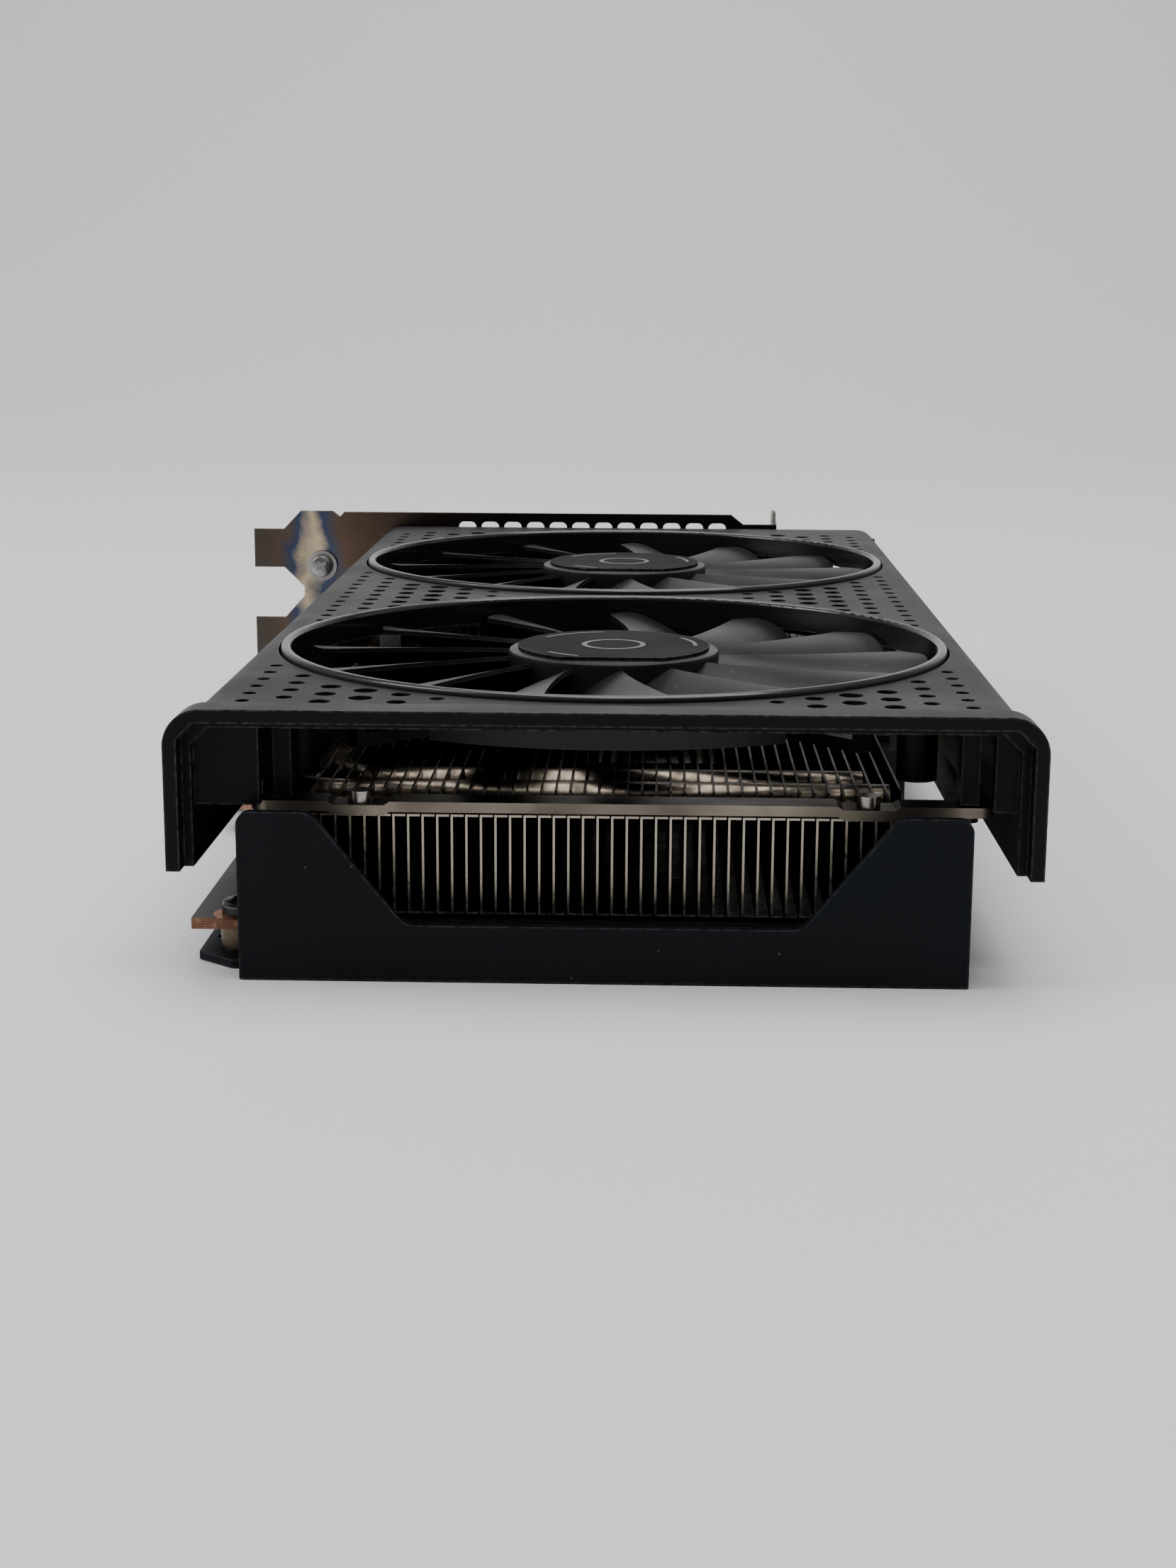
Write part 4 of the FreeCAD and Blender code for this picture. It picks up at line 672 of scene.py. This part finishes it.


# --- Screws on the board and the standoffs -------------------------------------------------------
# Black pan-head screws with cross recesses, on bare copper rings, over turned brass standoffs
# in a dark brass tone.

def pan_screw(radius, high):
    """Domed head with a cross recess, its underside on the XY plane."""
    head = bmesh.new()
    bmesh.ops.create_cone(head, cap_ends=True, segments=48, radius1=radius, radius2=radius * 0.93, depth=high)
    bmesh.ops.translate(head, verts=head.verts[:], vec=(0, 0, high / 2))
    top = [face for face in head.faces if face.normal.z > 0.9]
    for thickness, lift in ((0.16, 0.1), (0.3, 0.04)):
        bmesh.ops.inset_region(head, faces=top, thickness=radius * thickness)
        bmesh.ops.translate(head, verts=top[0].verts[:], vec=(0, 0, radius * lift))
    for vert in top[0].verts:
        turn = math.atan2(vert.co.y, vert.co.x)
        vert.co.xy = vert.co.xy * (0.86 + 0.3 * math.cos(4 * turn))
    bmesh.ops.inset_region(head, faces=top, thickness=radius * 0.02)
    bmesh.ops.translate(head, verts=top[0].verts[:], vec=(0, 0, -high * 0.55))
    for face in head.faces:
        face.smooth = True
    mesh = bpy.data.meshes.new("head")
    head.to_mesh(mesh)
    head.free()
    return mesh


def screw_set(name, spots, radius, high, made, facing=Matrix.Identity(4)):
    """Copies one head to every spot, turned to face the way its screw does."""
    pattern = pan_screw(radius * mm, high * mm)
    heads = bmesh.new()
    for number, spot in enumerate(spots):
        copy = pattern.copy()
        copy.transform(Matrix.Translation(spot) @ facing @ Matrix.Rotation(0.7 + 1.3 * number, 4, "Z"))
        heads.from_mesh(copy)
        bpy.data.meshes.remove(copy)
    bpy.data.meshes.remove(pattern)
    thing = linked(name, heads)
    thing.data.materials.append(made)
    thing.data.set_sharp_from_angle(angle=math.radians(32))
    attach(thing, "card")


board_spots = [(-49.8, -108.5), (43.6, -108.5), (-59, -24), (43.6, 22), (-59, 92), (43.6, 111)]
wears("board_screws", oxide)
wears("board_standoffs", metal("standoff_brass", (0.13, 0.1, 0.07, 1), (0.08, 0.06, 0.04, 1), 0.3,
                               streak=(1, 1, 14), strength=0.5))
head_base = board_top + 1.3 * mm
screw_set("board_screw_heads", [(x * mm, y * mm, head_base) for x, y in board_spots], 2.35, 0.6, oxide)

copper_pad = metal("copper_pad", (0.55, 0.26, 0.13, 1), (0.4, 0.18, 0.09, 1), 0.4)
rings = bmesh.new()
for x, y in board_spots:
    lip = bmesh.ops.create_circle(rings, segments=48, radius=3.6 * mm, cap_ends=True)
    disc = list({f for v in lip["verts"] for f in v.link_faces})
    bmesh.ops.inset_region(rings, faces=disc, thickness=1.6 * mm, use_boundary=True)
    bmesh.ops.translate(rings, verts=list({v for f in disc for v in f.verts} | set(lip["verts"])),
                        vec=(x * mm, y * mm, board_top + 0.03 * mm))
bmesh.ops.recalc_face_normals(rings, faces=rings.faces[:])
for face in rings.faces:
    if face.normal.z < 0:
        face.normal_flip()
pads = linked("board_copper_rings", rings)
pads.data.materials.append(copper_pad)
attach(pads, "card")


# --- Sockets -------------------------------------------------------------------------------------
# The power socket is black nylon with eight gold plated pins; the display sockets are folded
# steel shells round black tongues.

socket_nylon = resin("socket_nylon", (0.014, 0.014, 0.014, 1), 0.42)
# The shell steel's tone is lowered as painted shade for the shells' dark insides.
shell_steel_shaded = metal("shell_steel_shaded", (0.3, 0.3, 0.3, 1), (0.22, 0.22, 0.22, 1), 0.26, streak=(1, 0.1, 1),
                    edge=(0.72, 0.72, 0.72, 1))
wears("power_socket", socket_nylon)
wears("power_pins", contact_gold)
wears("display_socket_shells", shell_steel_shaded)
wears("display_socket_tongues", socket_nylon)
wears("video_socket_shell", shell_steel_shaded)
wears("video_socket_tongue", socket_nylon)


# --- I/O bracket ---------------------------------------------------------------------------------
# Bent steel with a dark nickel plate.  Heat has tinted the foot in blue and amber bands round
# its screw, and the rest has gone a smoky brown.

def tinted_plate():
    """Colour bands across the foot, pushed to and fro by noise."""
    made, tree, shader = finish_of("tinted_plate", 0.3, 1.0)
    place = add(tree, "TexCoord").outputs["Object"]
    parts = add(tree, "SeparateXYZ", None, i0=place)
    drift = add(tree, "TexNoise", None, Vector=place, Scale=70.0, Detail=4.0, Distortion=0.6).outputs[0]
    along = figure(tree, "ADD", parts.outputs["X"], between(tree, drift, 0.2, 0.8, -0.004, 0.004))
    share = between(tree, along, -0.082, -0.02)
    ramp = add(tree, "ValToRGB", None, Fac=share)
    stops = ((0.0, (0.085, 0.07, 0.058)), (0.05, (0.11, 0.08, 0.06)), (0.09, (0.05, 0.07, 0.13)),
             (0.135, (0.62, 0.5, 0.33)), (0.18, (0.06, 0.08, 0.14)), (0.26, (0.15, 0.1, 0.07)),
             (0.55, (0.075, 0.054, 0.045)), (1.0, (0.045, 0.04, 0.037)))
    for _ in stops[2:]:
        ramp.color_ramp.elements.new(0.5)  # a new ramp has two stops already
    for stop, (where, tone) in zip(ramp.color_ramp.elements, stops):
        stop.position = where
        stop.color = tone + (1,)
    edges = placed(tree, edge_effect, Width=0.0004)
    colour = blended(tree, figure(tree, "MULTIPLY", edges.outputs[0], 0.5), ramp.outputs[0],
                     (0.5, 0.46, 0.42, 1))
    tree.links.new(colour, shader.inputs["Base Color"])
    tree.links.new(between(tree, drift, 0.3, 0.7, 0.24, 0.42), shader.inputs["Roughness"])
    fine = add(tree, "TexNoise", None, Vector=place, Scale=700.0, Detail=3.0).outputs[0]
    raised(tree, shader, fine, 0.15, 0.00005)
    return made


wears("io_bracket", tinted_plate())
zinc = metal("zinc_screw", (0.46, 0.45, 0.43, 1), (0.3, 0.29, 0.28, 1), 0.3, edge=(0.7, 0.7, 0.69, 1))
wears("bracket_screw", zinc)
foot_low, foot_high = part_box("bracket_screw")
foot_spot = ((foot_low.x + foot_high.x) / 2, foot_low.y + 0.35 * mm, (foot_low.z + foot_high.z) / 2)
screw_set("bracket_screw_head", [foot_spot], 2.5, 0.5, zinc,
          Matrix.Rotation(math.pi / 2, 4, "X"))
wears("lug_screws", zinc)


# --- Backplate and retention parts ---------------------------------------------------------------
# Steel sheet with a satin black coat, folded up at the open end.  A sprung cross under the board
# holds the cold plate down with four black screws.

def coated_sheet():
    """Satin black coat, cloudy, with a few pale specks and worn edges."""
    made, tree, shader = finish_of("coated_sheet", 0.48, 0.0, Specular_IOR_Level=0.12)
    place = add(tree, "TexCoord").outputs["Object"]
    clouds = add(tree, "TexNoise", None, Vector=place, Scale=24.0, Detail=5.0).outputs[0]
    fine = add(tree, "TexNoise", None, Vector=place, Scale=2600.0, Detail=2.0).outputs[0]
    edges = placed(tree, edge_effect, Width=0.0005)
    specks = add(tree, "TexVoronoi", None, Vector=place, Scale=230.0).outputs["Distance"]
    colour = blended(tree, between(tree, clouds, 0.35, 0.65), (0.0032, 0.0042, 0.006, 1),
                     (0.005, 0.007, 0.01, 1))
    colour = blended(tree, figure(tree, "MULTIPLY", edges.outputs[0], 0.45), colour, (0.14, 0.15, 0.17, 1))
    colour = blended(tree, figure(tree, "MULTIPLY", between(tree, specks, 0.05, 0.02), 0.25), colour,
                     (0.3, 0.3, 0.3, 1))
    tree.links.new(colour, shader.inputs["Base Color"])
    tree.links.new(between(tree, clouds, 0.3, 0.7, 0.36, 0.5), shader.inputs["Roughness"])
    raised(tree, shader, fine, 0.12, 0.00006)
    return made


wears("backplate", coated_sheet())
wears("retention_plate", frame_plate)
wears("retention_screws", oxide)
